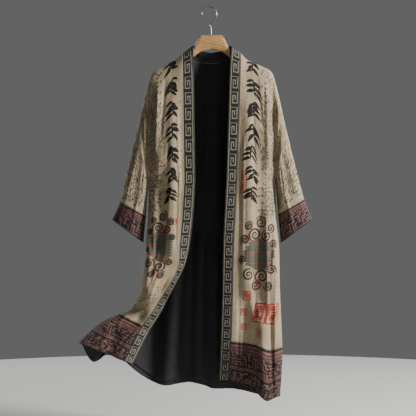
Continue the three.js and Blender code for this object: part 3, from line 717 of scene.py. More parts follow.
@dataclass
class Strokes:
    """Ribbons that lie on a surface: prints, stitches and piping. Each call adds some with one finish."""

    surface: Surface
    vertices: list[Array] = field(default_factory=list)
    faces: list[Array] = field(default_factory=list)
    uv: list[Array] = field(default_factory=list)
    slots: list[Array] = field(default_factory=list)
    count: int = 0

    def add(
        self, line: Array, half: Array | float, slot: int = 0, lift: float = INK_LIFT, bead: float = 0.0
    ) -> None:
        """Lays ribbons along lines. Each is three points wide, or five over a rounded bead.

        Args:
            line: Centrelines in the surface's lengths, as strokes by steps by 2.
            half: Half the width, for all or for each step.
            slot: The finish's place in the list.
            lift: How far outside the surface the ribbon lies.
            bead: How far its middle stands up above its edges.
        """
        line = np.asarray(line, float)
        half = np.broadcast_to(half, line.shape[:2])[..., None]
        way = unit(np.gradient(line, axis=1))
        side = np.stack([-way[..., 1], way[..., 0]], axis=-1)
        places = np.linspace(-1, 1, 5 if bead else 3)
        spread = line[:, :, None, :] + side[:, :, None, :] * half[..., None] * places[None, None, :, None]
        rise = lift + bead * np.sqrt(np.maximum(1 - places**2, 0))
        points = self.surface.at(spread[..., 0], spread[..., 1], np.broadcast_to(rise, spread.shape[:3]))
        strokes, steps, wide = spread.shape[:3]
        index = np.arange(strokes * steps * wide).reshape(strokes, steps, wide)
        corners = [index[:, :-1, :-1], index[:, 1:, :-1], index[:, 1:, 1:], index[:, :-1, 1:]]
        faces = np.stack([corner.ravel() for corner in corners], axis=-1)
        flat, ends = points.reshape(-1, 3), spread.reshape(-1, 2)
        a, b, d = flat[faces[:, 0]], flat[faces[:, 1]], flat[faces[:, 3]]
        turned = (np.cross(b - a, d - a) * self.inward_at(ends[faces[:, 0]])).sum(axis=-1) > 0
        faces[turned] = faces[turned][:, ::-1]
        self.vertices.append(flat)
        self.uv.append(ends[faces])
        self.faces.append(faces + self.count)
        self.slots.append(np.full(len(faces), slot))
        self.count += len(flat)

    def inward_at(self, lengths: Array) -> Array:
        """The way into the surface at lengths on it."""
        u, v = lengths[:, 0], lengths[:, 1]
        return self.surface.at(u, v) - self.surface.at(u, v, 1.0)

    def build(self, name: str, materials: list[bpy.types.Material]) -> bpy.types.Object:
        """Makes one piece of all the ribbons."""
        return add_mesh(
            name,
            np.concatenate(self.vertices),
            np.concatenate(self.faces),
            np.concatenate(self.uv),
            materials,
            np.concatenate(self.slots),
        )


def operation(kind: str, meaning: str) -> Callable[..., "Wire"]:
    """A method that puts a number, and another if the kind takes two, through one Math node."""

    def method(self: "Wire", *others: "Wire | float") -> "Wire":
        return self.math(kind, *others)

    method.__doc__ = meaning
    return method


def feed(node: bpy.types.Node, *values: "Wire | float") -> None:
    """Gives a node's inputs their values in turn: links from wires, or even numbers."""
    for socket, value in zip(node.inputs, values):
        if isinstance(value, Wire):
            value.tree.links.new(value.socket, socket)
        else:
            socket.default_value = value


class Wire:
    """A number that passes between a material's nodes. The usual operators add Math nodes."""

    def __init__(self, tree: bpy.types.NodeTree, socket: bpy.types.NodeSocket) -> None:
        """Keeps the socket that gives the number."""
        self.tree, self.socket = tree, socket

    def math(self, kind: str, *others: "Wire | float") -> "Wire":
        """This number and others through one Math node."""
        node = self.tree.nodes.new("ShaderNodeMath")
        node.operation = kind
        feed(node, self, *others)
        return Wire(self.tree, node.outputs[0])

    __add__ = operation("ADD", "The sum.")
    __sub__ = operation("SUBTRACT", "The difference.")
    __mul__ = operation("MULTIPLY", "The product.")
    __truediv__ = operation("DIVIDE", "The quotient.")
    over = operation("GREATER_THAN", "1 where this is more than the limit, and else 0.")
    under = operation("LESS_THAN", "1 where this is less than the limit, and else 0.")
    largest = operation("MAXIMUM", "The larger of two.")
    smallest = operation("MINIMUM", "The smaller of two.")
    size = operation("ABSOLUTE", "The number without its sign.")
    fraction = operation("FRACT", "What is left above the whole number below.")
    whole = operation("FLOOR", "The whole number below.")

    def between(self, low: float, high: float) -> "Wire":
        """1 from low to high, and else 0."""
        return self.over(low) * self.under(high)

    def wave(self, pitch: float) -> "Wire":
        """A sine of this pitch."""
        return (self * (2 * math.pi / pitch)).math("SINE")


class Recipe:
    """A new material with one shader, and the nodes that its finish asks for."""

    def __init__(
        self, name: str, roughness: float, sheen: float = 0.0, metallic: float = 0.0, specular: float = 0.5
    ) -> None:
        """Starts a material whose even values are set on the shader itself."""
        self.material = bpy.data.materials.new(name)
        self.material.use_nodes = True
        self.tree = self.material.node_tree
        self.shader = self.tree.nodes["Principled BSDF"]
        self.shader.inputs["Roughness"].default_value = roughness
        self.shader.inputs["Metallic"].default_value = metallic
        self.shader.inputs["Sheen Weight"].default_value = sheen
        self.shader.inputs["Sheen Roughness"].default_value = 0.5
        self.shader.inputs["Specular IOR Level"].default_value = specular

    def lengths(self) -> tuple[Wire, Wire]:
        """The piece's own lengths across and along it, in millimetres."""
        node = self.tree.nodes.new("ShaderNodeUVMap")
        node.uv_map = "cloth"
        return self.parts(node.outputs[0])[:2]

    def place(self) -> tuple[Wire, Wire, Wire]:
        """The object's own coordinates, in millimetres."""
        return self.parts(self.tree.nodes.new("ShaderNodeTexCoord").outputs["Object"])

    def parts(self, socket: bpy.types.NodeSocket) -> tuple[Wire, Wire, Wire]:
        """The three numbers of a vector in metres, in millimetres."""
        node = self.tree.nodes.new("ShaderNodeSeparateXYZ")
        self.tree.links.new(socket, node.inputs[0])
        x, y, z = (Wire(self.tree, output) * (1 / MILLIMETRE) for output in node.outputs)
        return x, y, z

    def vector(self, *numbers: Wire | float) -> bpy.types.NodeSocket:
        """A vector of up to three numbers."""
        node = self.tree.nodes.new("ShaderNodeCombineXYZ")
        feed(node, *numbers)
        return node.outputs[0]

    def noise(self, *numbers: Wire | float, detail: float = 2.0) -> Wire:
        """Smooth noise about 0.5 over up to three numbers, with features about 1 apart."""
        node = self.tree.nodes.new("ShaderNodeTexNoise")
        node.inputs["Scale"].default_value = 1.0
        node.inputs["Detail"].default_value = detail
        self.tree.links.new(self.vector(*numbers), node.inputs["Vector"])
        return Wire(self.tree, node.outputs["Fac"])

    def chance(self, *numbers: Wire | float) -> Wire:
        """A random number from 0 to 1 for each set of whole numbers."""
        node = self.tree.nodes.new("ShaderNodeTexWhiteNoise")
        node.noise_dimensions = "3D"
        self.tree.links.new(self.vector(*numbers), node.inputs["Vector"])
        return Wire(self.tree, node.outputs["Value"])

    def blend(
        self, share: Wire, first: Colour | bpy.types.NodeSocket, second: Colour | bpy.types.NodeSocket
    ) -> bpy.types.NodeSocket:
        """A colour this share of the way from one to another."""
        node = self.tree.nodes.new("ShaderNodeMix")
        node.data_type = "RGBA"
        node.clamp_factor = True
        self.tree.links.new(share.socket, node.inputs["Factor"])
        for socket, colour in zip((node.inputs[6], node.inputs[7]), (first, second)):
            if isinstance(colour, bpy.types.NodeSocket):
                self.tree.links.new(colour, socket)
            else:
                socket.default_value = (*colour, 1.0)
        return node.outputs[2]

    def finish(self, colour: bpy.types.NodeSocket, height: Wire, depth: float) -> bpy.types.Material:
        """Links the colour and the bump, whose height of 1 is this many millimetres."""
        bump = self.tree.nodes.new("ShaderNodeBump")
        bump.inputs["Strength"].default_value = 1.0
        bump.inputs["Distance"].default_value = depth * MILLIMETRE
        self.tree.links.new(height.socket, bump.inputs["Height"])
        self.tree.links.new(bump.outputs["Normal"], self.shader.inputs["Normal"])
        self.tree.links.new(colour, self.shader.inputs["Base Color"])
        return self.material


def weave(recipe: Recipe, u: Wire, v: Wire, pitch: float) -> Wire:
    """Height of a plain weave about 0 to 1: crossing threads that take turns on top, uneven in thickness."""
    slub = recipe.noise(u / 1.4, v / 46.0) * 0.5 + recipe.noise(u / 60.0, v / 1.6) * 0.5
    both = u.wave(pitch) * v.wave(pitch) * 0.25
    threads = both + u.wave(pitch / 2).size() * 0.2 + v.wave(pitch / 2).size() * 0.2
    return threads + slub * 0.6


def crumple(recipe: Recipe, u: Wire, v: Wire) -> Wire:
    """Height of the small creases that worn linen keeps, longer down the cloth than across."""
    wide = recipe.noise(u / 17.0, v / 44.0, 5.0, detail=3.0)
    fine = (recipe.noise(u / 6.0, v / 11.0, 9.0, detail=3.0) - 0.5).size()
    return wide * 5.0 - fine * 3.2


@dataclass(frozen=True)
class Linen:
    """Undyed linen with slubs and faint stains."""

    name: str = "linen cloth"
    light: Colour = (0.5, 0.4, 0.258)
    dark: Colour = (0.2, 0.152, 0.09)
    stain: Colour = (0.2, 0.145, 0.082)
    pitch: float = 1.3
    depth: float = 0.35

    def ground(self, recipe: Recipe, u: Wire, v: Wire) -> bpy.types.NodeSocket:
        """The cloth's colour: light and dark threads both ways, and slow stains."""
        warp = recipe.noise(u / 2.2, v / 60.0, detail=3.0)
        weft = recipe.noise(u / 50.0, v / 1.8, detail=3.0)
        streak = warp * 0.6 + weft * 0.4
        fleck = recipe.noise(u / 3.4, v / 5.5, 1.0, detail=4.0)
        ground = recipe.blend((streak * 0.6 + fleck * 0.4 - 0.36) * 3.6, self.dark, self.light)
        patch = recipe.noise(u / 70.0, v / 95.0, 3.0, detail=4.0)
        return recipe.blend((patch - 0.47) * 2.2, ground, self.stain)

    def material(self) -> bpy.types.Material:
        """The cloth's material."""
        recipe = Recipe(self.name, roughness=0.88, sheen=0.15)
        u, v = recipe.lengths()
        height = weave(recipe, u, v, self.pitch) + crumple(recipe, u, v)
        return recipe.finish(self.ground(recipe, u, v), height, self.depth)


@dataclass(frozen=True)
class Ink:
    """Ink printed on the linen, dry in places so that the cloth shows through."""

    name: str
    colour: Colour
    wear: float
    linen: Linen = Linen()

    def material(self) -> bpy.types.Material:
        """The print's material."""
        recipe = Recipe(self.name, roughness=0.8, specular=0.25)
        u, v = recipe.lengths()
        dry = recipe.noise(u / 1.6, v / 1.3, detail=4.0)
        blotch = recipe.noise(u / 16.0, v / 22.0, 7.0)
        share = (dry + blotch * 0.6 - (1.12 - self.wear)) * 5.0
        colour = recipe.blend(share, self.colour, self.linen.ground(recipe, u, v))
        height = weave(recipe, u, v, self.linen.pitch) + crumple(recipe, u, v)
        return recipe.finish(colour, height, self.linen.depth)


@dataclass(frozen=True)
class Dyed:
    """Plain black cloth with slubs, for linings, tapes and piping."""

    name: str
    light: Colour = (0.016, 0.016, 0.017)
    dark: Colour = (0.004, 0.004, 0.005)
    pitch: float = 1.1
    depth: float = 0.4

    def material(self) -> bpy.types.Material:
        """The cloth's material."""
        recipe = Recipe(self.name, roughness=0.66, sheen=0.03, specular=0.38)
        u, v = recipe.lengths()
        streak = recipe.noise(u / 1.5, v / 40.0, detail=3.0) * 0.6 + recipe.noise(u / 50.0, v / 1.8) * 0.4
        colour = recipe.blend((streak - 0.36) * 3.4, self.dark, self.light)
        height = weave(recipe, u, v, self.pitch) + crumple(recipe, u, v) * 1.3
        return recipe.finish(colour, height, self.depth)


# The key's strokes in one repeat, which is 6 units along and 3 across: both ends, along and across
FRET_UNITS = (6.0, 3.0)
FRET_STROKES = (
    (0.0, 0.0, 0.0, 3.0),
    (0.0, 0.0, 4.4, 0.0),
    (4.4, 0.0, 4.4, 2.0),
    (1.5, 2.0, 4.4, 2.0),
    (1.5, 1.0, 1.5, 2.0),
    (1.5, 1.0, 3.0, 1.0),
    (0.0, 3.0, 6.0, 3.0),
)


@dataclass(frozen=True)
class Fret:
    """The neckband's woven key fret, pale lines on black."""

    name: str = "key fret band"
    width: float = 36.5
    margin: float = 7.0
    pitch: float = 41.0
    line: float = 3.2
    edge_gap: float = 4.2
    pale: Colour = (0.215, 0.197, 0.147)
    black: Colour = (0.010, 0.010, 0.012)

    def material(self) -> bpy.types.Material:
        """The band's material: the smallest distance to the key's strokes makes the line."""
        recipe = Recipe(self.name, roughness=0.8, specular=0.25)
        u, v = recipe.lengths()
        tall = self.width - 2 * self.margin
        along = (v / self.pitch).fraction() * self.pitch
        across = u.size() - self.margin
        nearest: Wire | None = None
        for x0, y0, x1, y1 in FRET_STROKES:
            unit_along, unit_across = self.pitch / FRET_UNITS[0], tall / FRET_UNITS[1]
            middle = ((x0 + x1) / 2 * unit_along, (y0 + y1) / 2 * unit_across)
            reach = ((x1 - x0) / 2 * unit_along, (y1 - y0) / 2 * unit_across)
            beside = ((along - middle[0]).size() - reach[0]).largest((across - middle[1]).size() - reach[1])
            nearest = beside if nearest is None else nearest.smallest(beside)
        edges = ((across - tall / 2).size() - (tall / 2 + self.edge_gap)).size()
        rough = recipe.noise(u / 0.9, v / 0.9) * 0.5 - 0.25
        drawn = (nearest + rough).under(self.line / 2).largest((edges + rough).under(0.2))
        faded = recipe.noise(u / 14.0, v / 30.0, detail=3.0)
        pale = recipe.blend((faded - 0.42) * 3.0, self.pale, tuple(0.62 * part for part in self.pale))
        black = recipe.blend((recipe.noise(u / 1.3, v / 30.0) - 0.4) * 3.0, self.black, (0.022, 0.022, 0.024))
        height = weave(recipe, u, v, 0.9) + drawn * 0.5
        return recipe.finish(recipe.blend(drawn, black, pale), height, 0.3)


@dataclass(frozen=True)
class Border:
    """The labyrinth border of the hem and the cuffs, in black and dusty pink, in bands down from its seam."""

    name: str
    depth: float
    cell: float = 10.0
    maze: tuple[float, float] = (35.0, 85.0)
    stripes: tuple[tuple[float, float], ...] = ()
    mottled: float = 1e6
    hem: float = 5.0
    pink: Colour = (0.125, 0.056, 0.051)
    faded: Colour = (0.2, 0.105, 0.083)
    black: Colour = (0.010, 0.009, 0.010)

    def material(self) -> bpy.types.Material:
        """The border's material. Each cell of the maze has one wall, along or across by chance."""
        recipe = Recipe(self.name, roughness=0.84, sheen=0.03, specular=0.25)
        u, v = recipe.lengths()
        column, row = u / self.cell, v / self.cell
        upright = recipe.chance(column.whole(), row.whole(), 5.0).over(0.5)
        beside = column.fraction() * upright + row.fraction() * (upright * -1.0 + 1.0)
        walls = beside.under(0.5)
        blob = recipe.noise(u / 22.0, v / 15.0, detail=3.0)
        ragged = recipe.noise(u / 2.4, v / 2.4, detail=3.0) * 0.16
        dark_blob = (blob + ragged).over(0.66)
        pink_blob = (blob + ragged).under(0.38)
        maze = (walls * (pink_blob * -1.0 + 1.0)).largest(dark_blob)
        inside = v.between(*self.maze)
        low = v.over(self.mottled)
        mottle = (recipe.noise(u / 12.0, v / 8.0, detail=4.0) - 0.45) * 14.0
        black = inside * maze
        for start, end in self.stripes:
            black = black.largest(v.between(start, end))
        black = black.largest(low * mottle.largest(0.0).smallest(1.0)).largest(v.over(self.depth - self.hem))
        tone = recipe.noise(u / 22.0, v / 9.0, 2.0, detail=5.0)
        pink = recipe.blend((tone - 0.42) * 4.0, self.pink, self.faded)
        threads = recipe.noise(u / 1.4, v / 24.0)
        pink = recipe.blend((threads - 0.45) * 1.6, pink, (0.12, 0.05, 0.045))
        ground = recipe.blend((threads - 0.4) * 3.0, self.black, (0.024, 0.021, 0.022))
        height = weave(recipe, u, v, 1.0) + black * -0.3
        return recipe.finish(recipe.blend(black, pink, ground), height, 0.35)


@dataclass(frozen=True)
class Wood:
    """Varnished pale wood with its grain along the hanger."""

    name: str = "varnished wood"
    light: Colour = (0.52, 0.29, 0.12)
    dark: Colour = (0.26, 0.12, 0.045)

    def material(self) -> bpy.types.Material:
        """The wood's material: stretched noise gives the grain, and finer noise its pores."""
        recipe = Recipe(self.name, roughness=0.34)
        recipe.shader.inputs["Coat Weight"].default_value = 0.35
        recipe.shader.inputs["Coat Roughness"].default_value = 0.2
        x, y, z = recipe.place()
        warp = recipe.noise(x / 90.0, y / 12.0, z / 12.0, detail=3.0)
        rings = (z / 3.1 + x * 0.05 + warp * 9.0).wave(2.4) * 0.5 + 0.5
        pores = recipe.noise(x / 14.0, y / 0.8, z / 0.8)
        share = rings * 0.55 + pores * 0.5 - 0.1
        return recipe.finish(recipe.blend(share, self.light, self.dark), pores * 0.6 + rings * 0.4, 0.12)


@dataclass(frozen=True)
class Steel:
    """Drawn steel wire, a little dull."""

    name: str = "steel wire"
    bright: Colour = (0.32, 0.32, 0.31)
    dull: Colour = (0.15, 0.15, 0.15)

    def material(self) -> bpy.types.Material:
        """The wire's material: fine noise dulls it in patches."""
        recipe = Recipe(self.name, roughness=0.3, metallic=1.0)
        x, y, z = recipe.place()
        patch = recipe.noise(x / 6.0, y / 6.0, z / 6.0, detail=4.0)
        fine = recipe.noise(x / 0.5, y / 0.5, z / 0.5)
        return recipe.finish(recipe.blend((patch - 0.4) * 2.5, self.bright, self.dull), fine, 0.02)


class Tone(Enum):
    """A print's ink, by its place in the list of finishes."""

    BLACK = 0
    GREY = 1
    RED = 2
    GREEN = 3
    WASH = 4


# Each tone's name, colour and wear
INKS = {
    Tone.BLACK: ("black ink", (0.010, 0.009, 0.008), 0.1),
    Tone.GREY: ("grey ink", (0.068, 0.055, 0.041), 0.08),
    Tone.RED: ("red ink", (0.32, 0.028, 0.022), 0.16),
    Tone.GREEN: ("grey-green ink", (0.05, 0.054, 0.043), 0.2),
    Tone.WASH: ("grey-green wash", (0.15, 0.143, 0.108), 0.26),
}


class Finishes:
    """Every finish of the part, made once."""

    def __init__(self) -> None:
        """Makes the cloths, the inks in the order of Tone, the wood and the steel."""
        self.linen = Linen().material()
        self.lining = Dyed("black lining").material()
        self.piping = Dyed("black piping", light=(0.03, 0.03, 0.032), pitch=0.8).material()
        self.fret = Fret().material()
        self.hem = Border(
            "hem border",
            depth=FORM.hem_band_depth,
            stripes=((0, 7), (17, 20), (27, 29), (31, 33), (86, 88), (92, 94), (98, 105), (120, 122)),
            mottled=105.0,
        ).material()
        self.cuff = Border(
            "cuff border", depth=82.0, maze=(22.0, 71.0), stripes=((0, 6), (11, 13), (18, 20), (71, 74))
        ).material()
        self.inks = [Ink(*INKS[tone]).material() for tone in Tone]
        self.thread = self.inks[Tone.GREY.value]
        self.wood = Wood().material()
        self.steel = Steel().material()


# The cloud scrolls of one motif: place across and down, and radius, in shares of its width and height
SCROLLS = (
    (-0.3, -0.4, 0.12),
    (0.02, -0.45, 0.16),
    (0.32, -0.37, 0.13),
    (-0.12, -0.28, 0.18),
    (0.2, -0.26, 0.15),
    (-0.39, -0.21, 0.12),
    (0.42, -0.15, 0.11),
    (-0.44, 0.06, 0.1),
    (-0.28, 0.27, 0.17),
    (0.1, 0.3, 0.19),
    (0.37, 0.21, 0.13),
    (-0.08, 0.42, 0.13),
    (0.27, 0.43, 0.12),
)


@dataclass
class Prints:
    """Generic prints on a panel: bamboo sprigs, marks, wave scales, cloud scrolls and lattice squares."""

    strokes: Strokes
    seed: int
    stem: float = 2.8
    bare_edge: float = 8.0
    thin_edge: float = 34.0
    left_out: float = 0.12
    left_out_at_edge: float = 0.5
    marks_in_place: int = 4
    scroll_turns: float = 2.3
    scroll_winding: float = 0.84
    rim_away: float = 3.4
    rim_steps: int = 17
    rim_chance: float = 0.6
    bar_chance: float = 0.76
    lattice_margin: float = 0.14

    def __post_init__(self) -> None:
        """Starts the seeded chance."""
        self.rng = np.random.default_rng(self.seed)

    def blade(
        self,
        start: Array,
        angle: Array,
        length: Array,
        bend: Array,
        thick: Array,
        tone: Tone,
        steps: int = 12,
    ) -> None:
        """Tapered strokes: each a bent line whose half width is a skewed sine, like a leaf's."""
        t = np.linspace(0, 1, steps)
        turn = angle[:, None] + bend[:, None] * (t - 0.3)
        step = (length / (steps - 1))[:, None, None] * np.stack([np.cos(turn), np.sin(turn)], axis=-1)
        line = start[:, None, :] + np.cumsum(step, axis=1) - step[:, :1]
        half = thick[:, None] * (0.06 + np.sin(np.pi * t**0.7) ** 0.9)
        self.strokes.add(line, half, tone.value)

    def sprigs(self, u: float, tops: Array, wide: float, tall: float) -> None:
        """A column of bamboo sprigs: a jointed stem with leaves that fan out to both sides."""
        for k, v in enumerate(tops):
            lean = self.rng.uniform(-0.28, 0.28)
            root = np.array([u + self.rng.uniform(-3, 3), v])
            stem = (np.pi / 2 + lean, tall, -lean * 1.6, self.stem)
            self.blade(root[None], *(np.array([value]) for value in stem), Tone.BLACK)
            count = int(self.rng.integers(6, 9))
            place = np.linspace(0.04, 0.86, count)
            side = np.where((np.arange(count) + k) % 2 == 0, 1.0, -1.0)
            start = root + place[:, None] * tall * np.array([math.sin(-lean) * 0.6, 0.95])
            angle = np.pi / 2 - side * self.rng.uniform(0.75, 1.35, count)
            length = wide * self.rng.uniform(0.46, 0.66, count)
            thick = self.rng.uniform(3.4, 5.6, count)
            self.blade(start, angle, length, side * self.rng.uniform(0.2, 0.9, count), thick, Tone.BLACK)

    def ticks(self, low: tuple[float, float], high: tuple[float, float], pitch: float, size: float) -> None:
        """Columns of short crossing marks with no meaning, thinned out towards the edges of their place.

        Args:
            low: Lengths across and down where the place starts.
            high: The same where it ends.
            pitch: From one column to the next.
            size: About how long a stroke is.
        """
        us = np.arange(low[0], high[0], pitch)
        vs = np.arange(low[1], high[1], pitch * 1.12)
        grid = np.stack(np.meshgrid(us, vs), axis=-1).reshape(-1, 2)
        surface = self.strokes.surface
        edges = [np.interp(grid[:, 1], surface.v, surface.u[:, column]) for column in (0, -1)]
        inside = np.minimum(grid[:, 0] - edges[0], edges[1] - grid[:, 0])
        from_edge = np.minimum(grid - low, high - grid).min(axis=1)
        thinned = self.left_out + self.left_out_at_edge * (1 - ease(from_edge / self.thin_edge))
        grid = grid[(inside > self.bare_edge) & (self.rng.uniform(size=len(grid)) > thinned)]
        for _ in range(self.marks_in_place):
            kept = grid[self.rng.uniform(size=len(grid)) > 0.2]
            count = len(kept)
            start = kept + self.rng.uniform(-0.3, 0.3, (count, 2)) * pitch
            quarter = self.rng.integers(0, 3, count) * np.pi / 4
            angle = quarter + self.rng.uniform(-0.25, 0.25, count)
            length = size * self.rng.uniform(0.5, 1.1, count)
            thick = self.rng.uniform(0.95, 1.6, count)
            self.blade(start, angle, length, self.rng.uniform(-0.6, 0.6, count), thick, Tone.GREY, steps=4)

    def clouds(self, centre: tuple[float, float], wide: float, tall: float, hand: float) -> None:
        """Cloud scrolls above and below a mound of wave scales, in shares of a width and a height."""
        self.scales((centre[0] + 0.03 * wide * hand, centre[1] + 0.02 * tall), 0.84 * wide, 0.46 * tall)
        for k, (across, down, radius) in enumerate(SCROLLS):
            place = (centre[0] + across * wide * hand, centre[1] + down * tall)
            self.scroll(place, radius * wide, hand if k % 2 else -hand)

    def scales(self, centre: tuple[float, float], wide: float, tall: float, radius: float = 9.0) -> None:
        """An oval of wave scales in rows half a scale apart: each is a wash and three arcs over it."""
        rows = np.arange(-tall / 2, tall / 2, radius / 2)
        turn = np.radians(np.linspace(32, 148, 12))
        arc = radius * np.stack([np.cos(turn), -np.sin(turn)], axis=-1)
        for k, row in enumerate(rows):
            reach = wide / 2 * math.sqrt(max(1 - (2 * row / tall) ** 2, 0.0)) / radius
            count = int((reach + k % 2) / 2) * 2 - k % 2
            if count < 1:
                continue
            us = np.arange(-count, count + 1, 2) * radius
            middle = np.column_stack([centre[0] + us, np.full(len(us), centre[1] + row)])[:, None]
            edge = Tone.RED if k % 8 == 3 else Tone.GREEN
            for share, half, tone, lift in (
                (0.62, radius * 0.34, Tone.WASH, 0.8),
                (0.97, 1.0, edge, 1.2),
                (0.66, 0.6, Tone.GREEN, 1.1),
                (0.34, 0.6, Tone.GREEN, 1.1),
            ):
                self.strokes.add(middle + arc * share, half, tone.value, lift=INK_LIFT * lift)

    def scroll(self, centre: tuple[float, float], radius: float, hand: float) -> None:
        """A cloud scroll: a tapered line that winds inwards, with a dark core and a red edge outside."""
        t = np.linspace(0, 1, 40)
        angle = hand * (t * self.scroll_turns * 2 * np.pi + self.rng.uniform(0, 2 * np.pi))
        away = radius * (1 - self.scroll_winding * np.minimum(t * 1.3, 1.0))
        way = np.stack([np.cos(angle), np.sin(angle)], axis=-1)
        line = np.array(centre) + away[:, None] * way
        body = 3.6 * np.sin(np.pi * np.clip(t * 1.06, 0, 1)) ** 0.5 * (1 - 0.55 * t) + 0.2
        self.strokes.add(line[None], body, Tone.GREEN.value, lift=INK_LIFT * 1.3)
        rim = (np.array(centre) + (away + self.rim_away)[:, None] * way)[: self.rim_steps]
        if self.rng.uniform() < self.rim_chance:
            half = 1.1 * (1.05 - t[: self.rim_steps] * 2)
            self.strokes.add(rim[None], half, Tone.RED.value, lift=INK_LIFT * 1.6)
        self.strokes.add(line[None], 0.9 * (1 - 0.5 * t), Tone.BLACK.value, lift=INK_LIFT * 1.8)

    def lattice(self, centre: tuple[float, float], wide: float, tall: float, cells: int) -> None:
        """A square of plain red lattice: a frame, and short bars that close cells by chance."""
        left, top = centre[0] - wide / 2, centre[1] - tall / 2
        line = max(1.1, wide / 17)
        frame = [[(0, 0), (1, 0)], [(1, 0), (1, 1)], [(1, 1), (0, 1)], [(0, 1), (0, 0)]]
        step = (1 - 2 * self.lattice_margin) / cells
        bars = []
        for i in range(cells):
            for j in range(cells):
                a, b = self.lattice_margin + step * i, self.lattice_margin + step * j
                for end in ((a + step, b), (a, b + step)):
                    if self.rng.uniform() < self.bar_chance:
                        bars.append([(a, b), end])
        for group, half in ((frame, line), (bars, line * 0.8)):
            ends = np.array(group, float) * (wide, tall) + (left, top)
            t = np.linspace(0, 1, 6)[None, :, None]
            self.strokes.add(mix(ends[:, :1], ends[:, 1:], t), half, Tone.RED.value)


@dataclass(frozen=True)
class Layout:
    """Where one front's prints lie, by lengths across from its inner edge and heights of the hanging panel.

    The sprigs have a place, a width and a height, and marks a box, a pitch and a size. The clouds have
    a place, a width, a height and a hand. Each lattice has a place, a width, a height and its cells a side.
    """

    seed: int
    sprigs: tuple[float, float, float]
    tops: tuple[float, ...]
    marks: tuple[tuple[float, ...], ...]
    clouds: tuple[float, ...]
    lattices: tuple[tuple[float, float, float, float, int], ...]
    low_marks: tuple[tuple[float, ...], ...] = ()


LAYOUTS = {
    Side.RIGHT: Layout(
        seed=11,
        sprigs=(46, 52, 45),
        tops=(-196, -262, -330, -398, -466, -535, -604),
        marks=((76, -215, 262, -704, 11.0, 10.5), (4, -300, 16, -640, 9.5, 5.0)),
        clouds=(72, -800, 104, 226, -1.0),
        lattices=((26, -716, 16, 18, 3),),
        low_marks=((20, -930, 120, -1010, 13.0, 7.0),),
    ),
    Side.LEFT: Layout(
        seed=23,
        sprigs=(52, 56, 46),
        tops=(-190, -258, -326, -394, -462, -530, -600),
        marks=((84, -215, 262, -704, 11.0, 10.5),),
        clouds=(92, -826, 132, 240, 1.0),
        lattices=(
            (24, -566, 20, 26, 3),
            (24, -604, 20, 34, 4),
            (48, -960, 24, 30, 4),
            (42, -1016, 20, 22, 3),
            (44, -1066, 20, 20, 3),
            (102, -1016, 44, 62, 5),
            (150, -1016, 42, 60, 5),
            (108, -1080, 18, 28, 3),
        ),
    ),
}
LAYOUT_COLUMN = 30  # the column of a front's grid that its heights are read on
HEM_TRIM = ((2.6, 2.2), (18.5, 1.2), (-2.6, 2.4))
CUFF_TRIM = ((2.4, 2.0), (-2.4, 2.2))
STITCH_IN = 3.0  # how far stitches lie from the seam below or above them
STITCH_BESIDE = 2.4  # and from the neckband's seam


@dataclass
class Sewing:
    """Stitches and piping on one surface."""

    strokes: Strokes
    stitch: float = 3.2
    gap: float = 1.8
    thread: float = 0.42

    def stitches(self, line: Callable[[Array], Array], length: float) -> None:
        """A row of stitches along a line, each a small ribbon that stands up in its middle."""
        starts = np.arange(2.0, length - self.stitch, self.stitch + self.gap)
        places = starts[:, None] + np.linspace(0, self.stitch, 4)[None, :]
        half = self.thread * np.sin(np.linspace(0.5, np.pi - 0.5, 4))
        self.strokes.add(line(places), half, lift=0.1, bead=0.35)

    def piping(self, line: Callable[[Array], Array], length: float, radius: float) -> None:
        """A rounded cord of cloth along a line."""
        places = np.linspace(0, length, max(int(length / 4), 8))[None]
        self.strokes.add(line(places), radius, lift=-0.2, bead=radius)

    def across(self, v: float, radius: float = 0.0, ends_at: float | None = None) -> None:
        """A row of stitches from edge to edge, or piping where there is a radius.

        Args:
            v: The length down the surface where the row lies.
            radius: The piping's radius.
            ends_at: The length down where the edges are read, if it is another.
        """
        start, end = self.strokes.surface.edges(v if ends_at is None else ends_at)

        def line(u: Array) -> Array:
            """Places on the surface, from lengths along the row."""
            return np.stack([u + start, np.full_like(u, v)], axis=-1)

        if radius:
            self.piping(line, end - start, radius)
        else:
            self.stitches(line, end - start)


def trim(
    name: str, surface: Surface, rows: tuple[tuple[float, float], ...], finishes: Finishes
) -> bpy.types.Object:
    """Piping across a border, as lengths down it and radii. A length under 0 is from its lower edge."""
    sewing = Sewing(Strokes(surface))
    for place, radius in rows:
        sewing.across(place if place > 0 else float(surface.v[-1]) + place, radius)
    return sewing.strokes.build(name, [finishes.piping])


def inner_level(normals: Array) -> Array:
    """Ways inward with no part front to back, so that the two sides of a seam meet flat."""
    return unit(normals * np.array([1.0, 0.0, 1.0]))


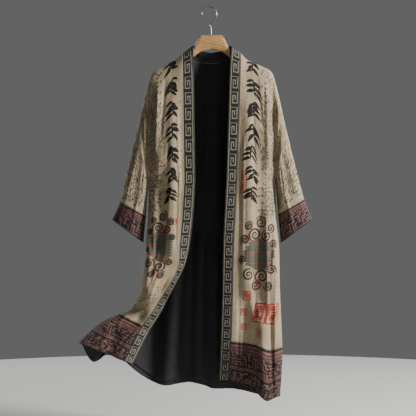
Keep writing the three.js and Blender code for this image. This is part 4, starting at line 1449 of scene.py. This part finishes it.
@dataclass
class Front:
    """Half of the front: its panel, hem border and neckband, with their sewing and prints."""

    side: Side
    finishes: Finishes
    top_rows: int = 104
    skirt_rows: int = 118
    hem_rows: int = 46
    columns: int = 92
    band_columns: int = 8
    panel_cut: Cut = Cut(0.24, 0.97, area=0.16)
    hem_cut: Cut = Cut(0.24, 0.165, area=0.035)
    band_cut: Cut = Cut(0.0365, 1.14)

    def __post_init__(self) -> None:
        """Works out the one surface that the three pieces are cut from."""
        form = FORM
        falls = np.concatenate([
            form.rows(self.top_rows, self.skirt_rows),
            np.linspace(form.band_line, 2, self.hem_rows + 1)[1:],
        ])
        across = np.linspace(1, 0, self.columns + 1)
        panel = form.body(self.side, Face.FRONT, across[None, :], falls[:, None]) + [0, -SEAM_GAP / 2, 0]
        way = form.band_way(self.side, falls)
        widths = np.linspace(1, 0, self.band_columns + 1)[:-1]
        band = panel[:, :1] + way[:, None, :] * widths[None, :, None]
        points = np.concatenate([band, panel], axis=1)
        self.seam = self.band_columns
        self.last = self.top_rows + self.skirt_rows
        surface = Surface.over(points, np.array([points[0, -1, 0], 400.0, -700.0]), middle=self.seam)
        high = falls <= 1
        surface.inward[:, -1] = inner_level(surface.inward[:, -1])
        surface.inward[high, -1] = form.armhole_inward(self.side, Face.FRONT, falls[high])
        surface.inward[0, :-1] = inner_level(surface.inward[0, :-1])
        self.surface = surface

    def panel(self) -> Surface:
        """The panel's surface."""
        return self.surface.cut(slice(0, self.last + 1), slice(self.seam, None))

    def hem(self) -> Surface:
        """The hem border's surface, a seam's gap below the panel's."""
        return self.surface.cut(columns=slice(self.seam, None)).sewn_on(self.last, 1.6 * SEAM_GAP)

    def band(self) -> Surface:
        """The neckband's surface, a seam's gap away from the panel's."""
        cut = self.surface.cut(columns=slice(0, self.seam + 1))
        inner, outer = self.surface.points[:, self.seam], self.surface.points[:, self.seam + 1]
        shift = unit(inner - outer)[:, None, :] * SEAM_GAP
        return Surface(cut.points + shift, cut.inward, cut.u, cut.v)

    def build(self) -> None:
        """Makes the cloth, then the prints and the sewing on it."""
        side, finishes = self.side.value, self.finishes
        panel = add_shell(f"cloth_front_{side}", self.panel(), SHELL, [finishes.linen, finishes.lining])
        hem = add_shell(f"cloth_hem_front_{side}", self.hem(), SHELL, [finishes.hem, finishes.lining])
        band = add_shell(f"cloth_neckband_{side}", self.band(), BAND, [finishes.fret])
        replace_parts(panel, f"front_{side}")
        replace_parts(hem, f"hem_band_front_{side}")
        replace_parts(band, f"neckband_{side}")
        prints = self.prints()
        sewing = self.sewing()
        piping = trim(f"piping_front_{side}", self.hem(), HEM_TRIM, finishes)
        self.panel_cut.declare(panel, ["wood_hanger"], [prints, sewing])
        self.hem_cut.declare(hem, [panel], [piping])
        self.band_cut.declare(band, [panel])

    def prints(self) -> bpy.types.Object:
        """The prints of this half, as its layout has them."""
        surface, layout = self.panel(), LAYOUTS[self.side]
        prints = Prints(Strokes(surface), layout.seed)

        def down(z: float) -> float:
            """The length down the panel at a height."""
            return surface.v_at(z, LAYOUT_COLUMN)

        def marks(rows: tuple[tuple[float, ...], ...]) -> None:
            """Lays boxes of marks."""
            for left, top, right, foot, pitch, size in rows:
                prints.ticks((left, down(top)), (right, down(foot)), pitch, size)

        across, wide, tall = layout.sprigs
        prints.sprigs(across, np.array([down(z) for z in layout.tops]), wide, tall)
        marks(layout.marks)
        across, z, *sizes = layout.clouds
        prints.clouds((across, down(z)), *sizes)
        for across, z, wide, tall, cells in layout.lattices:
            prints.lattice((across, down(z)), wide, tall, cells)
        marks(layout.low_marks)
        return prints.strokes.build(f"prints_front_{self.side.value}", self.finishes.inks)

    def sewing(self) -> bpy.types.Object:
        """Two rows of stitches: beside the neckband's seam, and above the hem border's."""
        surface = self.panel()
        end = float(surface.v[-1])
        sewing = Sewing(Strokes(surface))
        sewing.stitches(lambda v: np.stack([np.full_like(v, STITCH_BESIDE), v], axis=-1), end)
        sewing.across(end - STITCH_IN, ends_at=end)
        name = f"stitches_front_{self.side.value}"
        return sewing.strokes.build(name, [self.finishes.thread])


@dataclass
class Back:
    """The back: its panel, hem border, lining and collar, with their sewing."""

    finishes: Finishes
    top_rows: int = 96
    skirt_rows: int = 110
    hem_rows: int = 46
    columns: int = 78
    collar_columns: int = 8
    panel_cut: Cut = Cut(0.68, 0.97, area=0.54)
    hem_cut: Cut = Cut(0.86, 0.165)
    lining_cut: Cut = Cut(0.68, 1.13, area=0.66)
    collar_cut: Cut = Cut(0.24, 0.0365)

    def __post_init__(self) -> None:
        """Works out the one surface that the pieces are cut from, with its columns from right to left."""
        form = FORM
        below = np.linspace(form.band_line, 2, self.hem_rows + 1)[1:]
        self.falls = np.concatenate([form.rows(self.top_rows, self.skirt_rows), below])
        self.across = np.linspace(-1, 1, 2 * self.columns + 1)
        inward = 1 - np.abs(self.across)[None, :]
        halves = [form.body(side, Face.BACK, inward, self.falls[:, None]) for side in (Side.RIGHT, Side.LEFT)]
        points = np.where((self.across < 0)[None, :, None], *halves) + [0, SEAM_GAP / 2, 0]
        surface = Surface.over(points, np.array([0.0, -400.0, -700.0]), middle=self.columns)
        high = self.falls <= 1
        for column, side in ((0, Side.RIGHT), (-1, Side.LEFT)):
            surface.inward[:, column] = inner_level(surface.inward[:, column])
            surface.inward[high, column] = form.armhole_inward(side, Face.BACK, self.falls[high])
        shoulder = np.abs(self.across) >= 1 - form.neck_start - 1e-9
        shoulder[[0, -1]] = False
        surface.inward[0, shoulder] = inner_level(surface.inward[0, shoulder])
        self.surface = surface
        self.last = self.top_rows + self.skirt_rows

    def hem(self) -> Surface:
        """The hem border's surface, a seam's gap below the panel's."""
        return self.surface.sewn_on(self.last, 1.6 * SEAM_GAP)

    def lining(self) -> Surface:
        """The lining's surface: every second point of the back's, down to where the lining ends."""
        rows = int(np.searchsorted(self.falls, FORM.lining_end))
        picked = np.unique(np.append(np.arange(0, rows, 2), rows - 1))
        full = self.surface
        return Surface(
            full.points[picked][:, ::2], full.inward[picked][:, ::2], full.u[picked][:, ::2], full.v[picked]
        )

    def collar(self) -> Surface:
        """The collar's surface: from the neckline up, across the back of the neck."""
        neck = np.abs(self.across) <= 1 - FORM.neck_start + 1e-9
        across = self.across[neck]
        base = self.surface.points[0, neck]
        widths = np.linspace(2.6 * SEAM_GAP / FORM.collar_width, 1, self.collar_columns + 1)
        points = base[None] + FORM.collar_way(across)[None] * widths[:, None, None]
        surface = Surface.over(points, np.array([0.0, -400.0, -150.0]), middle=0)
        surface.inward[0] = self.surface.inward[0, neck]
        surface.inward[:, 0] = inner_level(surface.inward[:, 0])
        surface.inward[:, -1] = inner_level(surface.inward[:, -1])
        points, inward = (np.swapaxes(grid, 0, 1) for grid in (surface.points, surface.inward))
        return Surface(points, inward, np.broadcast_to(surface.v, points.shape[:2]), surface.u[0])

    def build(self) -> None:
        """Makes the cloth and its sewing."""
        finishes = self.finishes
        panel_surface = self.surface.cut(slice(0, self.last + 1))
        panel = add_shell("cloth_back", panel_surface, SHELL, [finishes.linen])
        hem = add_shell("cloth_hem_back", self.hem(), SHELL, [finishes.hem, finishes.lining])
        lining = add_shell("cloth_lining_back", self.lining(), LINING, [finishes.lining])
        collar = add_shell("cloth_collar", self.collar(), BAND, [finishes.fret, finishes.piping])
        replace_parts(panel, "back")
        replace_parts(hem, "hem_band_back")
        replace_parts(lining, "lining_back")
        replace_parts(collar, "neckband_back")
        end = float(panel_surface.v[-1])
        sewing = Sewing(Strokes(panel_surface))
        sewing.across(end - STITCH_IN, ends_at=end)
        stitches = sewing.strokes.build("stitches_back", [finishes.thread])
        piping = trim("piping_back", self.hem(), HEM_TRIM, finishes)
        prints = Prints(Strokes(panel_surface), seed=31)
        prints.ticks((-262, 60), (262, 660), 12.0, 10.5)
        marks = prints.strokes.build("prints_back", finishes.inks)
        self.panel_cut.declare(panel, ["wood_hanger"], [stitches, marks])
        self.hem_cut.declare(hem, [panel], [piping])
        self.lining_cut.declare(lining, ["wood_hanger"])
        self.collar_cut.declare(collar, [panel])


@dataclass
class Sleeve:
    """A sleeve and its cuff, as one tube cut at the cuff's seam."""

    side: Side
    finishes: Finishes
    around: int = 168
    sleeve_rows: int = 72
    cuff_rows: int = 26
    sleeve_cut: Cut = Cut(0.38, 0.19, area=0.055)
    cuff_cut: Cut = Cut(0.33, 0.08)

    def __post_init__(self) -> None:
        """Works out the tube, moved off the armhole by a seam's gap."""
        start = SLEEVES[self.side].rows()[0]
        long = unit(np.array([start["topX"] - start["underX"], 0.0, start["topZ"] - start["underZ"]]))
        outward = -1.0 if self.side is Side.RIGHT else 1.0
        away = np.array([outward * abs(long[2]), 0.0, -abs(long[0])]) * 1.6 * SEAM_GAP
        runs = np.concatenate([
            np.linspace(0, FORM.cuff_start, self.sleeve_rows + 1),
            np.linspace(FORM.cuff_start, 1, self.cuff_rows + 1)[1:],
        ])
        turns = np.arange(self.around) / self.around
        points = FORM.sleeve(self.side, turns[None, :], runs[:, None]) + away
        surface = Surface.over(points, np.zeros(3), closed=True)
        outward_ways = points - points.mean(axis=1, keepdims=True)
        if (surface.inward * outward_ways).sum() > 0:
            surface.inward = -surface.inward
        front = turns <= 0.5
        surface.inward[0, front] = FORM.armhole_inward(self.side, Face.FRONT, 2 * turns[front])
        surface.inward[0, ~front] = FORM.armhole_inward(self.side, Face.BACK, 2 - 2 * turns[~front])
        self.surface = surface

    def cuff(self) -> Surface:
        """The cuff's surface, a seam's gap beyond the sleeve's."""
        return self.surface.sewn_on(self.sleeve_rows, SEAM_GAP)

    def build(self) -> None:
        """Makes the cloth, then the marks and the sewing on it."""
        side, finishes = self.side.value, self.finishes
        tube = self.surface.cut(slice(0, self.sleeve_rows + 1))
        cuff_surface = self.cuff()
        sleeve = add_shell(f"cloth_sleeve_{side}", tube, SHELL, [finishes.linen, finishes.lining])
        cuff = add_shell(f"cloth_cuff_{side}", cuff_surface, SHELL, [finishes.cuff, finishes.lining])
        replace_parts(sleeve, f"sleeve_{side}")
        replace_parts(cuff, f"cuff_{side}")
        prints = Prints(Strokes(tube), seed=41 if self.side is Side.RIGHT else 53)
        round_it = float(tube.u[:, -1].min())
        prints.ticks((4, 8), (round_it - 8, float(tube.v[-1]) - 10), 10.5, 10.5)
        marks = prints.strokes.build(f"prints_sleeve_{side}", finishes.inks)
        sewing = Sewing(Strokes(tube))
        for place in (STITCH_IN, float(tube.v[-1]) - STITCH_IN):
            sewing.across(place)
        stitches = sewing.strokes.build(f"stitches_sleeve_{side}", [finishes.thread])
        piping = trim(f"piping_cuff_{side}", cuff_surface, CUFF_TRIM, finishes)
        self.sleeve_cut.declare(sleeve, ["cloth_back"], [marks, stitches])
        self.cuff_cut.declare(cuff, [sleeve], [piping])


@dataclass
class Hanger:
    """The wooden hanger and its wire hook, smooth where their solids have facets."""

    finishes: Finishes
    around: int = 40
    squareness: float = 0.8
    drop: float = 5.4
    round_end: float = 6.0
    wire: float = 4.0
    wire_sides: int = 20
    wire_foot: float = -91.7
    wire_tip: tuple[float, ...] = (0.35, 0.7, 0.88, 0.97)
    radius: float = 24.5
    tip_turn: float = 190.0
    end_turn: float = -38.0
    middle: Table = field(
        default_factory=lambda: Table(
            "x top bottom half",
            (0, -92, -139, 7),
            (34, -92, -147, 7),
            (40, -98, -150, 7),
            (57, -131, -163, 7.5),
            (76, -150, -176, 7.5),
        )
    )
    arm: Table = field(
        default_factory=lambda: Table(
            "at height half", (0.88, 24, 9.5), (0.78, 24, 10), (0.7, 24, 10), (0.645, 22, 9), (0.63, 14, 6)
        )
    )
    neck: tuple[tuple[float, float], ...] = ((-1.5, -55), (-4.2, -61), (-1.4, -68), (0, -76), (0, -84))

    def stations(self, side: Side) -> Array:
        """The wood's sections outwards, as rows of x, top z, foot z and half thickness."""
        outward = -1.0 if side is Side.RIGHT else 1.0
        rows = [(outward * r["x"], r["top"], r["bottom"], r["half"]) for r in self.middle.rows()]
        for r in self.arm.rows():
            before, place, after = (
                np.array([SHOULDERS[side](c, r["at"] + step) for c in ("x", "z")])
                for step in (-0.01, 0.0, 0.01)
            )
            slope = unit(after - before)
            top = place + np.array([-outward * abs(slope[1]), -abs(slope[0])]) * self.drop
            rows.append((top[0], top[1], top[1] - r["height"], r["half"]))
        return np.array(rows)

    def build(self) -> None:
        """Makes the wood and the wire."""
        self.wood()
        self.hook()

    def wood(self) -> bpy.types.Object:
        """The wood: sections whose sine and cosine are drawn out to be squarer, through smoothed stations."""
        rows = np.concatenate([self.stations(Side.RIGHT)[:0:-1], self.stations(Side.LEFT)])
        x = rows[:, 0]
        fine = np.unique(np.concatenate([np.linspace(a, b, 9) for a, b in zip(x[:-1], x[1:])]))
        angle = np.arange(self.around) / self.around * 2 * np.pi
        rounded = [np.sign(f(angle)) * np.abs(f(angle)) ** self.squareness for f in (np.sin, np.cos)]
        ends = np.minimum(fine - fine[0], fine[-1] - fine)
        shrink = np.sqrt(np.clip(1 - (1 - np.clip(ends / self.round_end, 0, 1)) ** 2, 0.02, 1))[:, None]
        top, foot, half = (np.interp(fine, x, column)[:, None] for column in rows[:, 1:].T)
        centre, tall = (top + foot) / 2, (top - foot) / 2
        sine, cosine = rounded
        points = stack(fine[:, None], half * shrink * cosine[None], centre + tall * shrink * sine[None])
        wood = self.tube("wood_hanger", points, self.finishes.wood)
        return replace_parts(wood, "hanger_wood")

    def hook(self) -> bpy.types.Object:
        """The wire: a circle round a line over the crown, down the shank and into the wood."""
        turn = np.radians(np.linspace(self.tip_turn, self.end_turn, 90))
        centre = np.array([-HANGER_OFFSET, 0.0, -self.radius + self.wire / 2])
        arc = centre + self.radius * stack(np.cos(turn), 0.0, np.sin(turn))
        shank = np.array([(x, 0.0, z) for x, z in (*self.neck, (0.0, self.wire_foot))])
        knots = np.concatenate([arc[-2:], shank])
        length = np.concatenate([[0], np.cumsum(np.linalg.norm(np.diff(knots, axis=0), axis=-1))])
        table = Table("t x z", *np.column_stack([length, knots[:, 0], knots[:, 2]]))
        fine = np.linspace(length[1], length[-1], 60)[1:]
        line = np.concatenate([arc, stack(table("x", fine), 0.0, table("z", fine))])
        way = unit(np.gradient(line, axis=0))
        across = stack(way[:, 2], 0.0, -way[:, 0])
        angle = np.arange(self.wire_sides) / self.wire_sides * 2 * np.pi
        size = np.full(len(line), self.wire / 2)
        size[: len(self.wire_tip)] *= self.wire_tip
        sideways = across[:, None] * np.cos(angle)[None, :, None]
        forward = np.array([0.0, 1.0, 0.0]) * np.sin(angle)[None, :, None]
        points = line[:, None] + size[:, None, None] * (sideways + forward)
        hook = self.tube("steel_hook", points, self.finishes.steel)
        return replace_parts(hook, "hanger_hook")

    @staticmethod
    def tube(name: str, points: Array, material: bpy.types.Material) -> bpy.types.Object:
        """A closed solid through rings of points: four-sided faces round it, and a small fan at each end."""
        rings, around = points.shape[:2]
        ends = points[[0, -1]].mean(axis=1)
        r, c = np.arange(rings - 1)[:, None], np.arange(around)[None, :]
        following = (c + 1) % around
        corners = (r * around + c, (r + 1) * around + c, (r + 1) * around + following, r * around + following)
        sides = np.stack([corner.ravel() for corner in corners], axis=-1).tolist()
        first, last, ring = rings * around, rings * around + 1, (rings - 1) * around
        caps = [[first, i, (i + 1) % around] for i in range(around)]
        caps += [[last, ring + (i + 1) % around, ring + i] for i in range(around)]
        vertices = (np.concatenate([points.reshape(-1, 3), ends]) + [HANGER_OFFSET, 0, 0]) * MILLIMETRE
        mesh = bpy.data.meshes.new(name)
        mesh.from_pydata(vertices.tolist(), [], sides + caps)
        mesh.materials.append(material)
        mesh.update()
        middles = np.array([p.center for p in mesh.polygons]) - vertices.mean(axis=0)
        normals = np.array([p.normal for p in mesh.polygons])
        if np.median((middles * normals).sum(axis=-1)) < 0:
            mesh.flip_normals()
        mesh.polygons.foreach_set("use_smooth", np.ones(len(mesh.polygons), dtype=bool))
        piece = bpy.data.objects.new(name, mesh)
        bpy.context.scene.collection.objects.link(piece)
        log.info("%s: %d faces", name, len(mesh.polygons))
        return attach(piece, BODY)


@dataclass(frozen=True)
class Studio:
    """The camera at the photograph's angle, soft lights and a plain pale floor, in metres."""

    camera: tuple[float, float, float] = (-0.0043, -4.2, -0.671)
    lens: float = 108.5
    floor: float = -1.44
    floor_radius: float = 2.4
    floor_sides: int = 96
    backdrop: Colour = (0.125, 0.128, 0.126)

    def aim(self) -> None:
        """Makes the camera, level and looking along +Y."""
        data = bpy.data.cameras.new("camera")
        data.lens, data.clip_start, data.clip_end = self.lens, 0.05, 50.0
        camera = bpy.data.objects.new("camera", data)
        camera.location, camera.rotation_euler = self.camera, (math.pi / 2, 0, 0)
        bpy.context.scene.collection.objects.link(camera)
        bpy.context.scene.camera = camera

    def light(self) -> None:
        """Makes the lights: a key from the right, a weak fill in front, two behind, and an even backdrop."""
        rows = (
            ("key", (2.3, -1.05, 0.55), (0.0, 0.0, -0.65), 0.6, 165.0, (1.0, 0.985, 0.96)),
            ("front", (0.9, -3.2, 0.9), (0.0, 0.0, -0.7), 0.8, 9.0, (1.0, 1.0, 1.0)),
            ("rim", (1.4, 2.1, 0.6), (0.1, 0.0, -0.6), 1.0, 34.0, (1.0, 1.0, 1.0)),
            ("back", (-1.9, 2.4, 0.7), (0.0, 0.0, -0.7), 1.0, 44.0, (1.0, 0.99, 0.97)),
        )
        for name, place, target, size, power, colour in rows:
            data = bpy.data.lights.new(name, "AREA")
            data.size, data.energy, data.color = size, power, colour
            lamp = bpy.data.objects.new(name, data)
            way = np.array(target) - np.array(place)
            level = math.hypot(way[0], way[1])
            lamp.location = place
            lamp.rotation_euler = (math.pi / 2 + math.atan2(way[2], level), 0, math.atan2(-way[0], way[1]))
            bpy.context.scene.collection.objects.link(lamp)
        world = bpy.data.worlds.new("studio")
        world.use_nodes = True
        background = world.node_tree.nodes["Background"]
        background.inputs["Color"].default_value = (*self.backdrop, 1.0)
        background.inputs["Strength"].default_value = 1.0
        bpy.context.scene.world = world

    def stage(self) -> None:
        """Makes the floor, a round plain disc below the hem."""
        turn = np.linspace(0, 2 * np.pi, self.floor_sides, endpoint=False)
        ring = stack(np.cos(turn), np.sin(turn), 0.0) * self.floor_radius
        mesh = bpy.data.meshes.new("floor")
        mesh.from_pydata((ring + [0, 0, self.floor]).tolist(), [], [list(range(self.floor_sides))])
        recipe = Recipe("pale floor", roughness=0.9)
        recipe.shader.inputs["Base Color"].default_value = (0.55, 0.55, 0.54, 1.0)
        mesh.materials.append(recipe.material)
        floor = bpy.data.objects.new("floor", mesh)
        bpy.context.scene.collection.objects.link(floor)


def main() -> None:
    """Loads the frame, builds each part of the robe and keeps the two boxes."""
    logging.basicConfig(level=logging.INFO, format="%(name)s %(message)s")
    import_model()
    studio = Studio()
    studio.aim()
    studio.light()
    studio.stage()
    finishes = Finishes()
    Hanger(finishes).build()
    Back(finishes).build()
    for side in Side:
        Front(side, finishes).build()
        Sleeve(side, finishes).build()
    bpy.context.view_layer.update()


if __name__ == "__main__":
    main()
